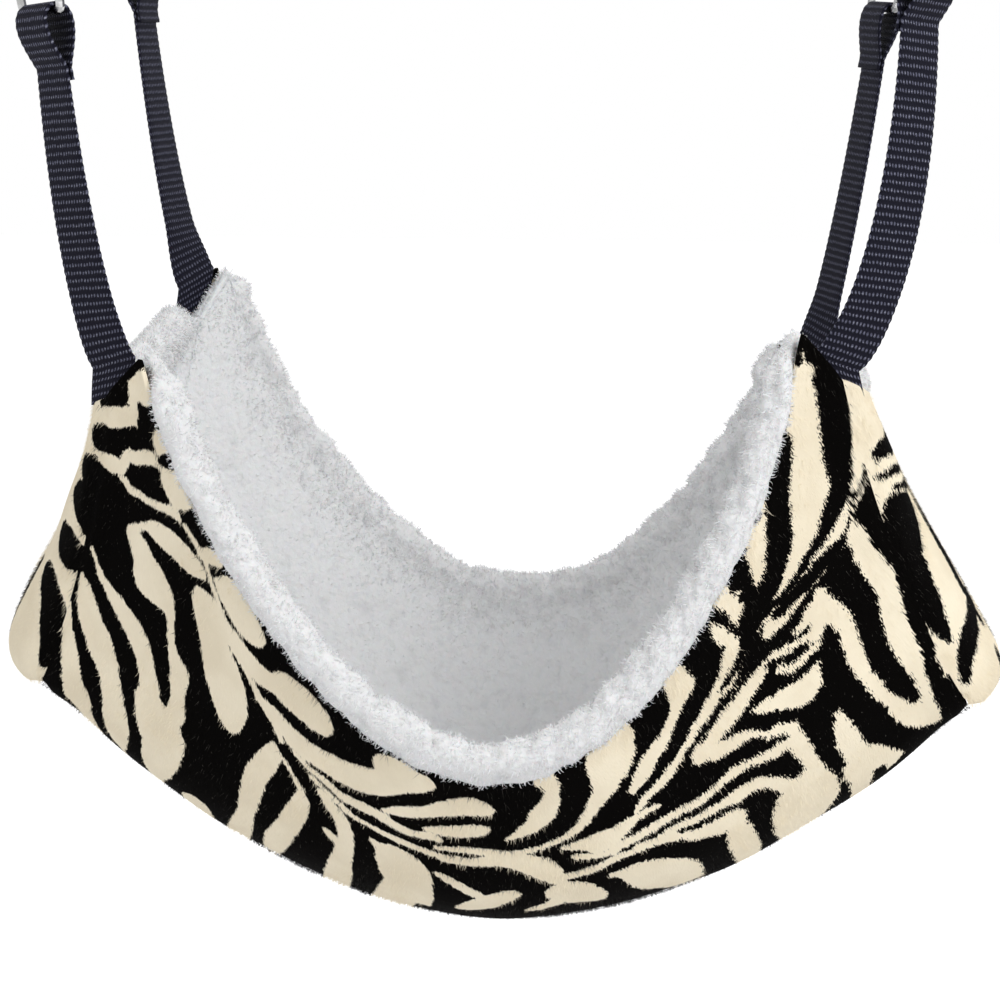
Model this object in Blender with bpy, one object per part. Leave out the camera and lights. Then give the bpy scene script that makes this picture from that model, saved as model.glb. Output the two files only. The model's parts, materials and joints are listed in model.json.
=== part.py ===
"""Hanging cradle bed for a cat.

A sewn pouch (plush cover, wadding, fleece lining, two end panels) hangs on four webbing straps.
Each strap ends in a sewn loop that holds the eye of a swivel snap hook.
Metres, +Z up. The origin is the middle of the four hanging points, and the pouch's front faces -Y.
"""

import math
from dataclasses import dataclass

import bmesh
import bpy
import numpy as np
from mathutils import Matrix, Vector

# Clearances: between pieces that touch, and how far a cutter runs past its work
FIT_GAP = 0.0003
CUT_OVERRUN = 0.002
MERGE_DISTANCE = 0.00001

# Pouch: places of the four strap corners under the hanging points
CORNER_HALF_DEPTH = 0.100
FRONT_LEFT_OUT = 0.157
FRONT_RIGHT_OUT = 0.155
REAR_LEFT_OUT = 0.163
REAR_RIGHT_OUT = 0.155
FRONT_LEFT_DROP = 0.220
FRONT_RIGHT_DROP = 0.216
REAR_LEFT_DROP = 0.206
REAR_RIGHT_DROP = 0.238

# Pouch: the cut corner that takes a strap, half its width, its turn from the front and its slant
CORNER_CELL = 0.017
FRONT_CORNER_TURN = math.radians(27.0)
REAR_CORNER_TURN = math.radians(55.0)
CORNER_SLANT = 0.004

# Pouch: rims and bottom
FRONT_RIM_SAG = 0.181
REAR_RIM_SAG = 0.166
RIM_SPREAD = 0.022
RIM_BOW_SHARE = 0.84
RIM_END_POWER = 12
LOWER_HALF_SPAN = 0.214
LOWER_SHIFT = 0.007
LOWER_END_HALF_DEPTH = 0.056
LOWER_MID_HALF_DEPTH = 0.082
BOTTOM_DROP = 0.380
BOTTOM_SAG = 0.115
SEAM_INSET = 0.006
SEAM_INSET_POWER = 3
END_BULGE = 0.028
END_BULGE_SHARES = (0.58, 0.80, 0.95, 0.97)
END_RIM_DIP = 0.004
END_TOP_POWER = 40.0
END_LOW_POWER = 3.0
SEAM_LENGTH_SHARE = 0.93

# Pouch: how wide the turn from wall to bottom is, as a share of a wall, at the middle and the ends
MID_TURN_SHARE = 1.25
END_TURN_SHARE = 0.55
SEAM_TURN_SHARE = 0.30

# Pouch: cells of the net along the length, down a wall and across the bottom
LENGTH_CELLS = 20
WALL_SHARES = (0.0, 0.23, 0.46, 0.68, 0.87, 1.0)
WALL_CELLS = len(WALL_SHARES) - 1
BOTTOM_CELLS = 6
TURN_SAMPLES = 41
MITRE_LIMIT_SHARE = 0.6

# Pouch: layers, from the outside in, and the rolled fleece edge
COVER_THICKNESS = 0.0025
WADDING_THICKNESS = 0.004
LINING_THICKNESS = 0.005
ROLL_GAP = 0.0006
ROLL_HEIGHT = 0.013
ROLL_OVERHANG = 0.0025
ROLL_INSIDE = 0.003
ROLL_CORNER_SHARE = 0.08
ROLL_CORNER_RISE_SHARE = 0.08
ROLL_WAIST_SHARE = 0.40
ROLL_SHOULDER_SHARE = 0.78

# Pouch: the roll's outline as shares of its height, of the way to the lining and of the overhang
ROLL_OUTLINE_SHARES = (
    (0.0, 0.0, 0.55),
    (ROLL_WAIST_SHARE, 0.0, 1.0),
    (ROLL_SHOULDER_SHARE, 0.22, 0.75),
    (1.0, 0.5, 0.0),
)

# Straps: flat webbing, sewn depth at the corner and the run up to the loop
STRAP_WIDTH = 0.025
STRAP_THICKNESS = 0.0015
STRAP_SEWN_DEPTH = 0.018
STRAP_SEWN_SLACK = 0.0010
FRONT_LEFT_BOW = 0.0045
FRONT_RIGHT_BOW = 0.011
REAR_LEFT_BOW = 0.0035
REAR_RIGHT_BOW = 0.0025
STRAP_BOW_POWER = 0.7
FRONT_LEFT_RUN = 0.126
FRONT_RIGHT_RUN = 0.144
REAR_LEFT_RUN = 0.134
REAR_RIGHT_RUN = 0.145
STRAP_CELLS = 9
FRONT_LEFT_LEAN = math.radians(9.3)
FRONT_RIGHT_LEAN = math.radians(12.0)
REAR_LEFT_LEAN = math.radians(10.5)
REAR_RIGHT_LEAN = math.radians(10.5)
STRAP_DEPTH_LEAN = math.radians(3.0)
FRONT_LEFT_TOP_TURN = math.radians(44.0)
FRONT_RIGHT_TOP_TURN = math.radians(48.0)
REAR_LEFT_TOP_TURN = math.radians(80.0)
REAR_RIGHT_TOP_TURN = math.radians(70.0)
FRONT_TWIST = 1.0
REAR_TWIST = 0.3
STRAP_FOLD_EASE = 0.030

# Straps: the sewn loop at the top
LOOP_HEIGHT = 0.027
FRONT_LOOP_HALF_DEPTH = 0.0085
REAR_LOOP_HALF_DEPTH = 0.0065
LOOP_FULLNESS = 1.4
LOOP_CELLS = 14
LOOP_TAIL = 0.005

# Hook eye: a D of round bar with a bored hub for the swivel
EYE_BAR_RADIUS = 0.002
EYE_SIDE_CLEARANCE = 0.001
EYE_HEIGHT = 0.019
EYE_LOWER_BEND = 0.0035
EYE_UPPER_BEND = 0.009
EYE_BEND_POINTS = 4
HUB_RADIUS = 0.0045
HUB_HEIGHT = 0.006
HUB_ROUNDING = 0.0006

# Hook: swivel shank, base, horn and mouth
SHANK_RADIUS = 0.002
RIVET_RADIUS = 0.0034
RIVET_HEIGHT = 0.0025
RIVET_TIP_SHARE = 0.7
COLLAR_RADIUS = 0.0044
COLLAR_HEIGHT = 0.003
BASE_HALF_WIDTH = 0.0115
BASE_HEIGHT = 0.009
BASE_THICKNESS = 0.0075
BASE_CHAMFER = 0.003
HORN_RADIUS = 0.0026
HORN_BEND = 0.0085
HORN_RISE = 0.022
NOSE_DROP = 0.003
HORN_ARC_POINTS = 9
GATE_ROOT_POINTS = 7

# Gate: a sprung lever that closes the mouth, its pin and its leaf spring
GATE_THICKNESS = 0.003
GATE_WIDTH = 0.0040
GATE_ROOT_RADIUS = 0.0029
GATE_THUMB_REACH = 0.0035
GATE_THUMB_HEIGHT = 0.003
GATE_THUMB_PLACE_SHARE = 0.45
GATE_THUMB_TIP_SHARE = 0.8
PIN_RADIUS = 0.001
SPRING_THICKNESS = 0.0005
SPRING_WIDTH = 0.0024
SPRING_FOOT = 0.003
SPRING_REACH = 0.0085

# Faces round a turned piece and along a bar
ROUND_FACES = 20
PIN_FACES = 12
BAR_RESOLUTION = 2

# Colours, roughness and metallic values
ZEBRA_CREAM = (0.90, 0.80, 0.62, 1.0)
WADDING_WHITE = (0.86, 0.86, 0.84, 1.0)
FLEECE_WHITE = (0.84, 0.84, 0.86, 1.0)
WEBBING_NAVY = (0.018, 0.018, 0.028, 1.0)
NICKEL = (0.72, 0.71, 0.69, 1.0)
SPRING_STEEL = (0.55, 0.55, 0.56, 1.0)
CLOTH_ROUGHNESS = 0.95
WEBBING_ROUGHNESS = 0.7
METAL_ROUGHNESS = 0.2

# Worked out from the sizes above
LAYER_STEP = COVER_THICKNESS + FIT_GAP
COVER_IN = COVER_THICKNESS
WADDING_OUT = LAYER_STEP
WADDING_IN = WADDING_OUT + WADDING_THICKNESS
LINING_OUT = WADDING_IN + FIT_GAP
LINING_IN = LINING_OUT + LINING_THICKNESS
STRAP_OUT = LAYER_STEP + STRAP_SEWN_SLACK
STRAP_IN = STRAP_OUT + STRAP_THICKNESS
EYE_HALF_WIDTH = STRAP_WIDTH / 2 + EYE_SIDE_CLEARANCE + EYE_BAR_RADIUS
HUB_BOTTOM = EYE_HEIGHT - HUB_HEIGHT / 2
HUB_TOP = EYE_HEIGHT + HUB_HEIGHT / 2
COLLAR_TOP = HUB_TOP + FIT_GAP + COLLAR_HEIGHT
BASE_TOP = COLLAR_TOP + BASE_HEIGHT
HORN_CENTRE_HEIGHT = BASE_TOP + HORN_RISE
HANG_HEIGHT = HORN_CENTRE_HEIGHT + HORN_BEND - HORN_RADIUS
NOSE_HEIGHT = HORN_CENTRE_HEIGHT - NOSE_DROP
GATE_PIVOT_ACROSS = BASE_HALF_WIDTH - GATE_ROOT_RADIUS - FIT_GAP
GATE_PIVOT_HEIGHT = COLLAR_TOP + BASE_HEIGHT / 2


@dataclass(frozen=True)
class Corner:
    """One strap corner: which side and end it is on, and what hangs there."""

    name: str
    side: int
    end: int
    out: float
    drop: float
    run: float
    lean: float
    bow: float
    turn: float
    top_turn: float
    twist_power: float
    loop_half_depth: float

    def place(self):
        """Middle of the cut corner's top edge, on the cover's outside."""
        return np.array((self.side * self.out, self.end * CORNER_HALF_DEPTH, -self.drop))

    def across(self, turn):
        """Level direction across the strap, towards the long rim, for a turn from the front."""
        return np.array((-self.side * math.cos(turn), self.end * math.sin(turn), 0.0))

    def rim_end(self):
        """Where the long rim starts, on the inner end of the cut corner."""
        return self.place() + CORNER_CELL * self.across(self.turn) + np.array((0.0, 0.0, CORNER_SLANT))

    def up(self):
        """Direction of the strap, which leans out to its hanging point."""
        lean = np.array((self.side * math.tan(self.lean), self.end * math.tan(STRAP_DEPTH_LEAN), 1.0))
        return unit(lean)


CORNERS = (
    Corner("front_left", -1, -1, FRONT_LEFT_OUT, FRONT_LEFT_DROP, FRONT_LEFT_RUN, FRONT_LEFT_LEAN,
           FRONT_LEFT_BOW, FRONT_CORNER_TURN, FRONT_LEFT_TOP_TURN, FRONT_TWIST, FRONT_LOOP_HALF_DEPTH),
    Corner("front_right", 1, -1, FRONT_RIGHT_OUT, FRONT_RIGHT_DROP, FRONT_RIGHT_RUN, FRONT_RIGHT_LEAN,
           FRONT_RIGHT_BOW, FRONT_CORNER_TURN, FRONT_RIGHT_TOP_TURN, FRONT_TWIST, FRONT_LOOP_HALF_DEPTH),
    Corner("rear_left", -1, 1, REAR_LEFT_OUT, REAR_LEFT_DROP, REAR_LEFT_RUN, REAR_LEFT_LEAN,
           REAR_LEFT_BOW, REAR_CORNER_TURN, REAR_LEFT_TOP_TURN, REAR_TWIST, REAR_LOOP_HALF_DEPTH),
    Corner("rear_right", 1, 1, REAR_RIGHT_OUT, REAR_RIGHT_DROP, REAR_RIGHT_RUN, REAR_RIGHT_LEAN,
           REAR_RIGHT_BOW, REAR_CORNER_TURN, REAR_RIGHT_TOP_TURN, REAR_TWIST, REAR_LOOP_HALF_DEPTH),
)


def unit(vector):
    """The vector at length one."""
    vector = np.asarray(vector, dtype=float)
    return vector / np.linalg.norm(vector)


def blend(first, second, share):
    """Straight mix of two values or places."""
    return first + (second - first) * share


def ease(share):
    """Smooth step from 0 to 1."""
    share = min(max(share, 0.0), 1.0)
    return share * share * (3 - 2 * share)


def corner_at(side, end):
    """The corner on the given side and end."""
    return next(corner for corner in CORNERS if corner.side == side and corner.end == end)


# The pouch's net


def rim_point(end, share):
    """Place on the front or rear rim, for a share of -1 at the left corner to 1 at the right."""
    left = corner_at(-1, end).rim_end()
    right = corner_at(1, end).rim_end()
    sag = FRONT_RIM_SAG if end < 0 else REAR_RIM_SAG
    lift = RIM_BOW_SHARE * share ** 2 + (1 - RIM_BOW_SHARE) * abs(share) ** RIM_END_POWER
    place = blend(left, right, (share + 1) / 2)
    return place + np.array((0.0, end * RIM_SPREAD * (1 - share ** 2), -sag * (1 - lift)))


def lower_point(end, share):
    """Place on the front or rear lower edge, where the wall turns into the bottom."""
    depth = blend(LOWER_MID_HALF_DEPTH, LOWER_END_HALF_DEPTH, share ** 2)
    height = -BOTTOM_DROP - BOTTOM_SAG * (1 - share ** 2)
    return np.array((LOWER_HALF_SPAN * share + LOWER_SHIFT, end * depth, height))


def section(points, turn_share, side_share):
    """Rounded line over front rim, lower edges and rear rim, with the net's cells."""
    points = np.array(points)
    shares = list(WALL_SHARES)
    shares += list(1 + np.linspace(0, 1, BOTTOM_CELLS + 1)[1:])
    shares += [3 - share for share in reversed(WALL_SHARES[:-1])]
    inset = SEAM_INSET * np.sign(side_share) * abs(side_share) ** SEAM_INSET_POWER

    def straight(share):
        cell = min(max(int(math.floor(share)), 0), len(points) - 2)
        return blend(points[cell], points[cell + 1], share - cell)

    window = np.linspace(-turn_share / 2, turn_share / 2, TURN_SAMPLES)
    line = []
    for share in shares:
        place = sum(straight(share + step) for step in window) / len(window)
        down_wall = min(share, 3 - share, 1.0)
        line.append(place - np.array((inset * 4 * down_wall * (1 - down_wall), 0.0, 0.0)))
    return line


def main_rows():
    """Sections of the main panel, from the left seam to the right seam."""
    rows = []
    for share in np.linspace(-1, 1, LENGTH_CELLS + 1):
        lower_share = share * SEAM_LENGTH_SHARE
        turn = blend(MID_TURN_SHARE, END_TURN_SHARE, share ** 2)
        lower = (lower_point(-1, lower_share), lower_point(1, lower_share))
        ends = (rim_point(-1, share), *lower, rim_point(1, share))
        rows.append(section(ends, turn, share))
    return [seam_line(-1)] + rows + [seam_line(1)]


def seam_line(side):
    """The seam between the main panel and an end panel."""
    front = corner_at(side, -1).place()
    rear = corner_at(side, 1).place()
    return section((front, lower_point(-1, side), lower_point(1, side), rear), SEAM_TURN_SHARE, side)


def end_rows(side):
    """Rows of an end panel, from its rim down to the bottom run of the seam."""
    seam = seam_line(side)
    turns = (corner_at(side, -1).turn, corner_at(side, 1).turn)
    rows = []
    for level in range(WALL_CELLS):
        depth_share = WALL_SHARES[level]
        front = seam[level]
        rear = seam[-1 - level]
        width = np.linalg.norm(rear - front)
        steps = [blend(CORNER_CELL * math.sin(turn), CORNER_CELL, depth_share) / width for turn in turns]
        shares = [0.0] + list(np.linspace(steps[0], 1 - steps[1], BOTTOM_CELLS - 1)) + [1.0]
        power = blend(END_TOP_POWER, END_LOW_POWER, min(1.0, 2 * depth_share))
        row = []
        for share in shares:
            cut = CORNER_CELL * blend(math.cos(turns[0]), math.cos(turns[1]), share)
            bulge = END_BULGE * END_BULGE_SHARES[level - 1] if level else cut
            middle = 1 - abs(2 * share - 1) ** power
            dip = (CORNER_SLANT + END_RIM_DIP * (1 - (2 * share - 1) ** 2)) * middle * (1 - depth_share)
            row.append(blend(front, rear, share) + np.array((side * bulge * middle, 0.0, -dip)))
        rows.append(row)
    rows.append(seam[WALL_CELLS:WALL_CELLS + BOTTOM_CELLS + 1])
    return rows


class Net:
    """The pouch's outer surface: shared points, the cells of each panel and the inward directions."""

    def __init__(self):
        self.points = []
        self.found = {}
        self.grids = {"main": self.grid(main_rows())}
        for side, panel in ((-1, "left"), (1, "right")):
            self.grids[panel] = self.grid(end_rows(side))
        self.points = np.array(self.points)
        self.inward = self.inward_directions()

    def grid(self, rows):
        """Numbers of the points of a panel, row by row; a seam's points are shared."""
        return np.array([[self.number(point) for point in row] for row in rows])

    def number(self, point):
        """Number of a point, the same for points that coincide."""
        key = tuple(np.round(np.asarray(point) / MERGE_DISTANCE).astype(int))
        if key not in self.found:
            self.found[key] = len(self.points)
            self.points.append(np.asarray(point, dtype=float))
        return self.found[key]

    def cells(self, panel):
        """Each cell's row, column and four point numbers."""
        grid = self.grids[panel]
        for row in range(grid.shape[0] - 1):
            for column in range(grid.shape[1] - 1):
                near = (grid[row, column], grid[row, column + 1])
                far = (grid[row + 1, column + 1], grid[row + 1, column])
                yield row, column, near + far

    def inward_directions(self):
        """At each point, the way in that keeps the layers evenly thick, longer where faces meet."""
        centre = self.points.mean(axis=0) + np.array((0.0, 0.0, FRONT_RIM_SAG / 2))
        normals = [[] for _ in self.points]
        for panel in self.grids:
            for _row, _column, quad in self.cells(panel):
                corners = self.points[list(quad)]
                normal = np.cross(corners[2] - corners[0], corners[3] - corners[1])
                if np.dot(normal, centre - corners.mean(axis=0)) < 0:
                    normal = -normal
                for number in quad:
                    normals[number].append(unit(normal))
        inward = []
        for around in normals:
            mean = unit(sum(around))
            mitre = np.mean([np.dot(mean, normal) for normal in around])
            inward.append(mean / max(MITRE_LIMIT_SHARE, mitre))
        return np.array(inward)


def seam_shifts(net, panel):
    """Small moves that draw a panel's sewn edges back from the seam by half a gap."""
    grid = net.grids[panel]
    rows, columns = grid.shape
    shifts = {}

    def draw_back(number, neighbour):
        step = unit(net.points[neighbour] - net.points[number]) * FIT_GAP / 2
        shifts[number] = shifts.get(number, 0) + step

    if panel == "main":
        for column in range(columns):
            draw_back(grid[0, column], grid[1, column])
            draw_back(grid[-1, column], grid[-2, column])
    else:
        for row in range(rows):
            draw_back(grid[row, 0], grid[row, 1])
            draw_back(grid[row, -1], grid[row, -2])
        for column in range(columns):
            draw_back(grid[-1, column], grid[-2, column])
    return shifts


def rim_runs(net, panel):
    """Each rim of a panel: its points and, for each, the next point further in."""
    grid = net.grids[panel]
    if panel == "main":
        return [list(zip(grid[:, 0], grid[:, 1])), list(zip(grid[:, -1], grid[:, -2]))]
    return [list(zip(grid[0, :], grid[1, :]))]


def roll_points(net, number, further_in, near_corner):
    """Points over the fleece roll at a rim point, from the lining's outside over the top to its inside."""
    inward = unit(net.inward[number])
    up = net.points[number] - net.points[further_in]
    up = unit(up - inward * np.dot(up, inward))
    reach = ROLL_CORNER_SHARE if near_corner else 1.0
    height = ROLL_HEIGHT * (ROLL_CORNER_RISE_SHARE if near_corner else 1.0)
    points = [(ROLL_GAP, LINING_OUT)]
    for rise, depth, overhang in ROLL_OUTLINE_SHARES:
        depth_in = blend(-overhang * ROLL_OVERHANG, LINING_OUT, depth)
        depth_in = blend(LINING_OUT, depth_in, reach)
        points.append((ROLL_GAP + rise * height, depth_in))
    points.append((ROLL_SHOULDER_SHARE * height, LINING_IN))
    points.append((ROLL_WAIST_SHARE * height, LINING_IN + ROLL_INSIDE))
    return [net.points[number] + up * rise + net.inward[number] * depth for rise, depth in points]


def layer(net, name, panel, outside, inside, material, skip=(), rolled=False):
    """One sewn layer of a panel as a closed solid between two depths, with a rolled rim on the lining."""
    shifts = seam_shifts(net, panel)
    mesh = bmesh.new()
    corners = {}

    def vertex(number, depth):
        key = (number, depth)
        if key not in corners:
            place = net.points[number] + net.inward[number] * depth + shifts.get(number, 0)
            corners[key] = mesh.verts.new(place)
        return corners[key]

    edges = {}
    for row, column, quad in net.cells(panel):
        if (row, column) in skip:
            continue
        for half in (quad[:3], (quad[0], quad[2], quad[3])):
            mesh.faces.new([vertex(number, outside) for number in half])
            mesh.faces.new([vertex(number, inside) for number in reversed(half)])
        for first, second in zip(quad, quad[1:] + quad[:1]):
            key = (min(first, second), max(first, second))
            edges[key] = edges.get(key, 0) + 1

    rolls = {}
    if rolled:
        for run in rim_runs(net, panel):
            for place, (number, further_in) in enumerate(run):
                near_corner = place in (0, 1, len(run) - 2, len(run) - 1)
                shift = shifts.get(number, 0)
                rolls[number] = [mesh.verts.new(point + shift)
                                 for point in roll_points(net, number, further_in, near_corner)]
            for number in (run[0][0], run[-1][0]):
                mesh.faces.new([vertex(number, outside)] + rolls[number] + [vertex(number, inside)])
    for (first, second), uses in edges.items():
        if uses > 1:
            continue
        if first in rolls and second in rolls:
            one = [vertex(first, outside)] + rolls[first] + [vertex(first, inside)]
            two = [vertex(second, outside)] + rolls[second] + [vertex(second, inside)]
        else:
            one = [vertex(first, outside), vertex(first, inside)]
            two = [vertex(second, outside), vertex(second, inside)]
        for step in range(len(one) - 1):
            mesh.faces.new((one[step], one[step + 1], two[step + 1], two[step]))
    return finish_mesh(name, mesh, material)


# Objects, materials and shared shaping steps


def clear_scene():
    """Start from an empty scene."""
    for thing in list(bpy.data.objects):
        bpy.data.objects.remove(thing, do_unlink=True)
    for collection in list(bpy.data.collections):
        bpy.data.collections.remove(collection)


def new_collection(name):
    """A collection in the scene."""
    collection = bpy.data.collections.new(name)
    bpy.context.scene.collection.children.link(collection)
    return collection


def make_material(name, colour, roughness, metallic=0.0):
    """A plain Principled material."""
    material = bpy.data.materials.new(name)
    material.use_nodes = True
    shader = material.node_tree.nodes["Principled BSDF"]
    shader.inputs["Base Color"].default_value = colour
    shader.inputs["Roughness"].default_value = roughness
    shader.inputs["Metallic"].default_value = metallic
    return material


def finish_mesh(name, mesh, material, collection=None, sharp=math.radians(40)):
    """Turn a finished bmesh into an object with its faces pointing out and round parts shaded smooth."""
    bmesh.ops.recalc_face_normals(mesh, faces=mesh.faces)
    data = bpy.data.meshes.new(name)
    mesh.to_mesh(data)
    mesh.free()
    data.shade_smooth()
    data.set_sharp_from_angle(angle=sharp)
    if material:
        data.materials.append(material)
    thing = bpy.data.objects.new(name, data)
    (collection or PARTS).objects.link(thing)
    return thing


def bar(name, points, radius, cyclic=False, resolution=BAR_RESOLUTION):
    """A round bar along points, made a closed mesh."""
    data = bpy.data.curves.new(name, "CURVE")
    data.dimensions = "3D"
    data.bevel_depth = radius
    data.bevel_resolution = resolution
    data.use_fill_caps = not cyclic
    spline = data.splines.new("POLY")
    spline.points.add(len(points) - 1)
    for knot, point in zip(spline.points, points):
        knot.co = (*point, 1.0)
    spline.use_cyclic_u = cyclic
    return as_mesh(name, data)


def plate(name, outline, thickness):
    """A flat outline in X and Z, with the given thickness along Y."""
    data = bpy.data.curves.new(name, "CURVE")
    data.dimensions = "2D"
    data.fill_mode = "BOTH"
    data.extrude = thickness / 2
    spline = data.splines.new("POLY")
    spline.points.add(len(outline) - 1)
    for knot, (across, height) in zip(spline.points, outline):
        knot.co = (across, height, 0.0, 1.0)
    spline.use_cyclic_u = True
    return as_mesh(name, data, Matrix.Rotation(math.pi / 2, 4, "X"))


def as_mesh(name, curve, turn=None):
    """A curve's solid as a mesh object among the cutters, with its caps welded."""
    guide = bpy.data.objects.new(name + "_curve", curve)
    CUTTERS.objects.link(guide)
    bpy.context.view_layer.update()
    data = bpy.data.meshes.new_from_object(guide.evaluated_get(bpy.context.evaluated_depsgraph_get()))
    bpy.data.objects.remove(guide, do_unlink=True)
    mesh = bmesh.new()
    mesh.from_mesh(data)
    bmesh.ops.remove_doubles(mesh, verts=mesh.verts, dist=MERGE_DISTANCE)
    if turn:
        bmesh.ops.transform(mesh, matrix=turn, verts=mesh.verts)
    bpy.data.meshes.remove(data)
    return finish_mesh(name, mesh, None, CUTTERS)


def turned(name, profile, faces=ROUND_FACES):
    """A solid of revolution about Z from a profile of radius and height, top to bottom."""
    mesh = bmesh.new()
    knots = [mesh.verts.new((radius, 0.0, height)) for radius, height in profile]
    edges = [mesh.edges.new(pair) for pair in zip(knots, knots[1:])]
    bmesh.ops.spin(mesh, geom=knots + edges, cent=(0, 0, 0), axis=(0, 0, 1), angle=2 * math.pi,
                   steps=faces, use_merge=True)
    bmesh.ops.remove_doubles(mesh, verts=mesh.verts, dist=MERGE_DISTANCE)
    return finish_mesh(name, mesh, None, CUTTERS)


def cross_pin(name, radius, length, across, height, faces=PIN_FACES):
    """A round pin along Y at a place in X and Z."""
    mesh = bmesh.new()
    bmesh.ops.create_cone(mesh, cap_ends=True, segments=faces, radius1=radius, radius2=radius, depth=length)
    place = Matrix.Translation((across, 0.0, height)) @ Matrix.Rotation(math.pi / 2, 4, "X")
    bmesh.ops.transform(mesh, matrix=place, verts=mesh.verts)
    return finish_mesh(name, mesh, None, CUTTERS)


def box(name, low, high):
    """A box between two corners."""
    mesh = bmesh.new()
    bmesh.ops.create_cube(mesh, size=1.0)
    low = Vector(low)
    high = Vector(high)
    bmesh.ops.scale(mesh, vec=high - low, verts=mesh.verts)
    bmesh.ops.translate(mesh, vec=(low + high) / 2, verts=mesh.verts)
    return finish_mesh(name, mesh, None, CUTTERS)


def combine(name, body, others, material):
    """Join and cut shapes: others is a list of an operation and a shape. Returns the shared mesh."""
    for operation, other in others:
        modifier = body.modifiers.new(operation.lower(), "BOOLEAN")
        modifier.operation = operation
        modifier.object = other
        modifier.solver = "EXACT"
    bpy.context.view_layer.update()
    data = bpy.data.meshes.new_from_object(body.evaluated_get(bpy.context.evaluated_depsgraph_get()))
    mesh = bmesh.new()
    mesh.from_mesh(data)
    bmesh.ops.remove_doubles(mesh, verts=mesh.verts, dist=MERGE_DISTANCE)
    bmesh.ops.dissolve_degenerate(mesh, edges=mesh.edges, dist=MERGE_DISTANCE)
    mesh.to_mesh(data)
    mesh.free()
    data.name = name
    data.materials.clear()
    data.materials.append(material)
    data.shade_smooth()
    data.set_sharp_from_angle(angle=math.radians(40))
    for _operation, other in others:
        bpy.data.objects.remove(other, do_unlink=True)
    bpy.data.objects.remove(body, do_unlink=True)
    return data


def arc(centre, radius, start, finish, count):
    """Points on an arc in X and Z, for angles in radians from +X."""
    angles = np.linspace(start, finish, count)
    return [(centre[0] + radius * math.cos(angle), centre[1] + radius * math.sin(angle)) for angle in angles]


# The straps


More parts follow.
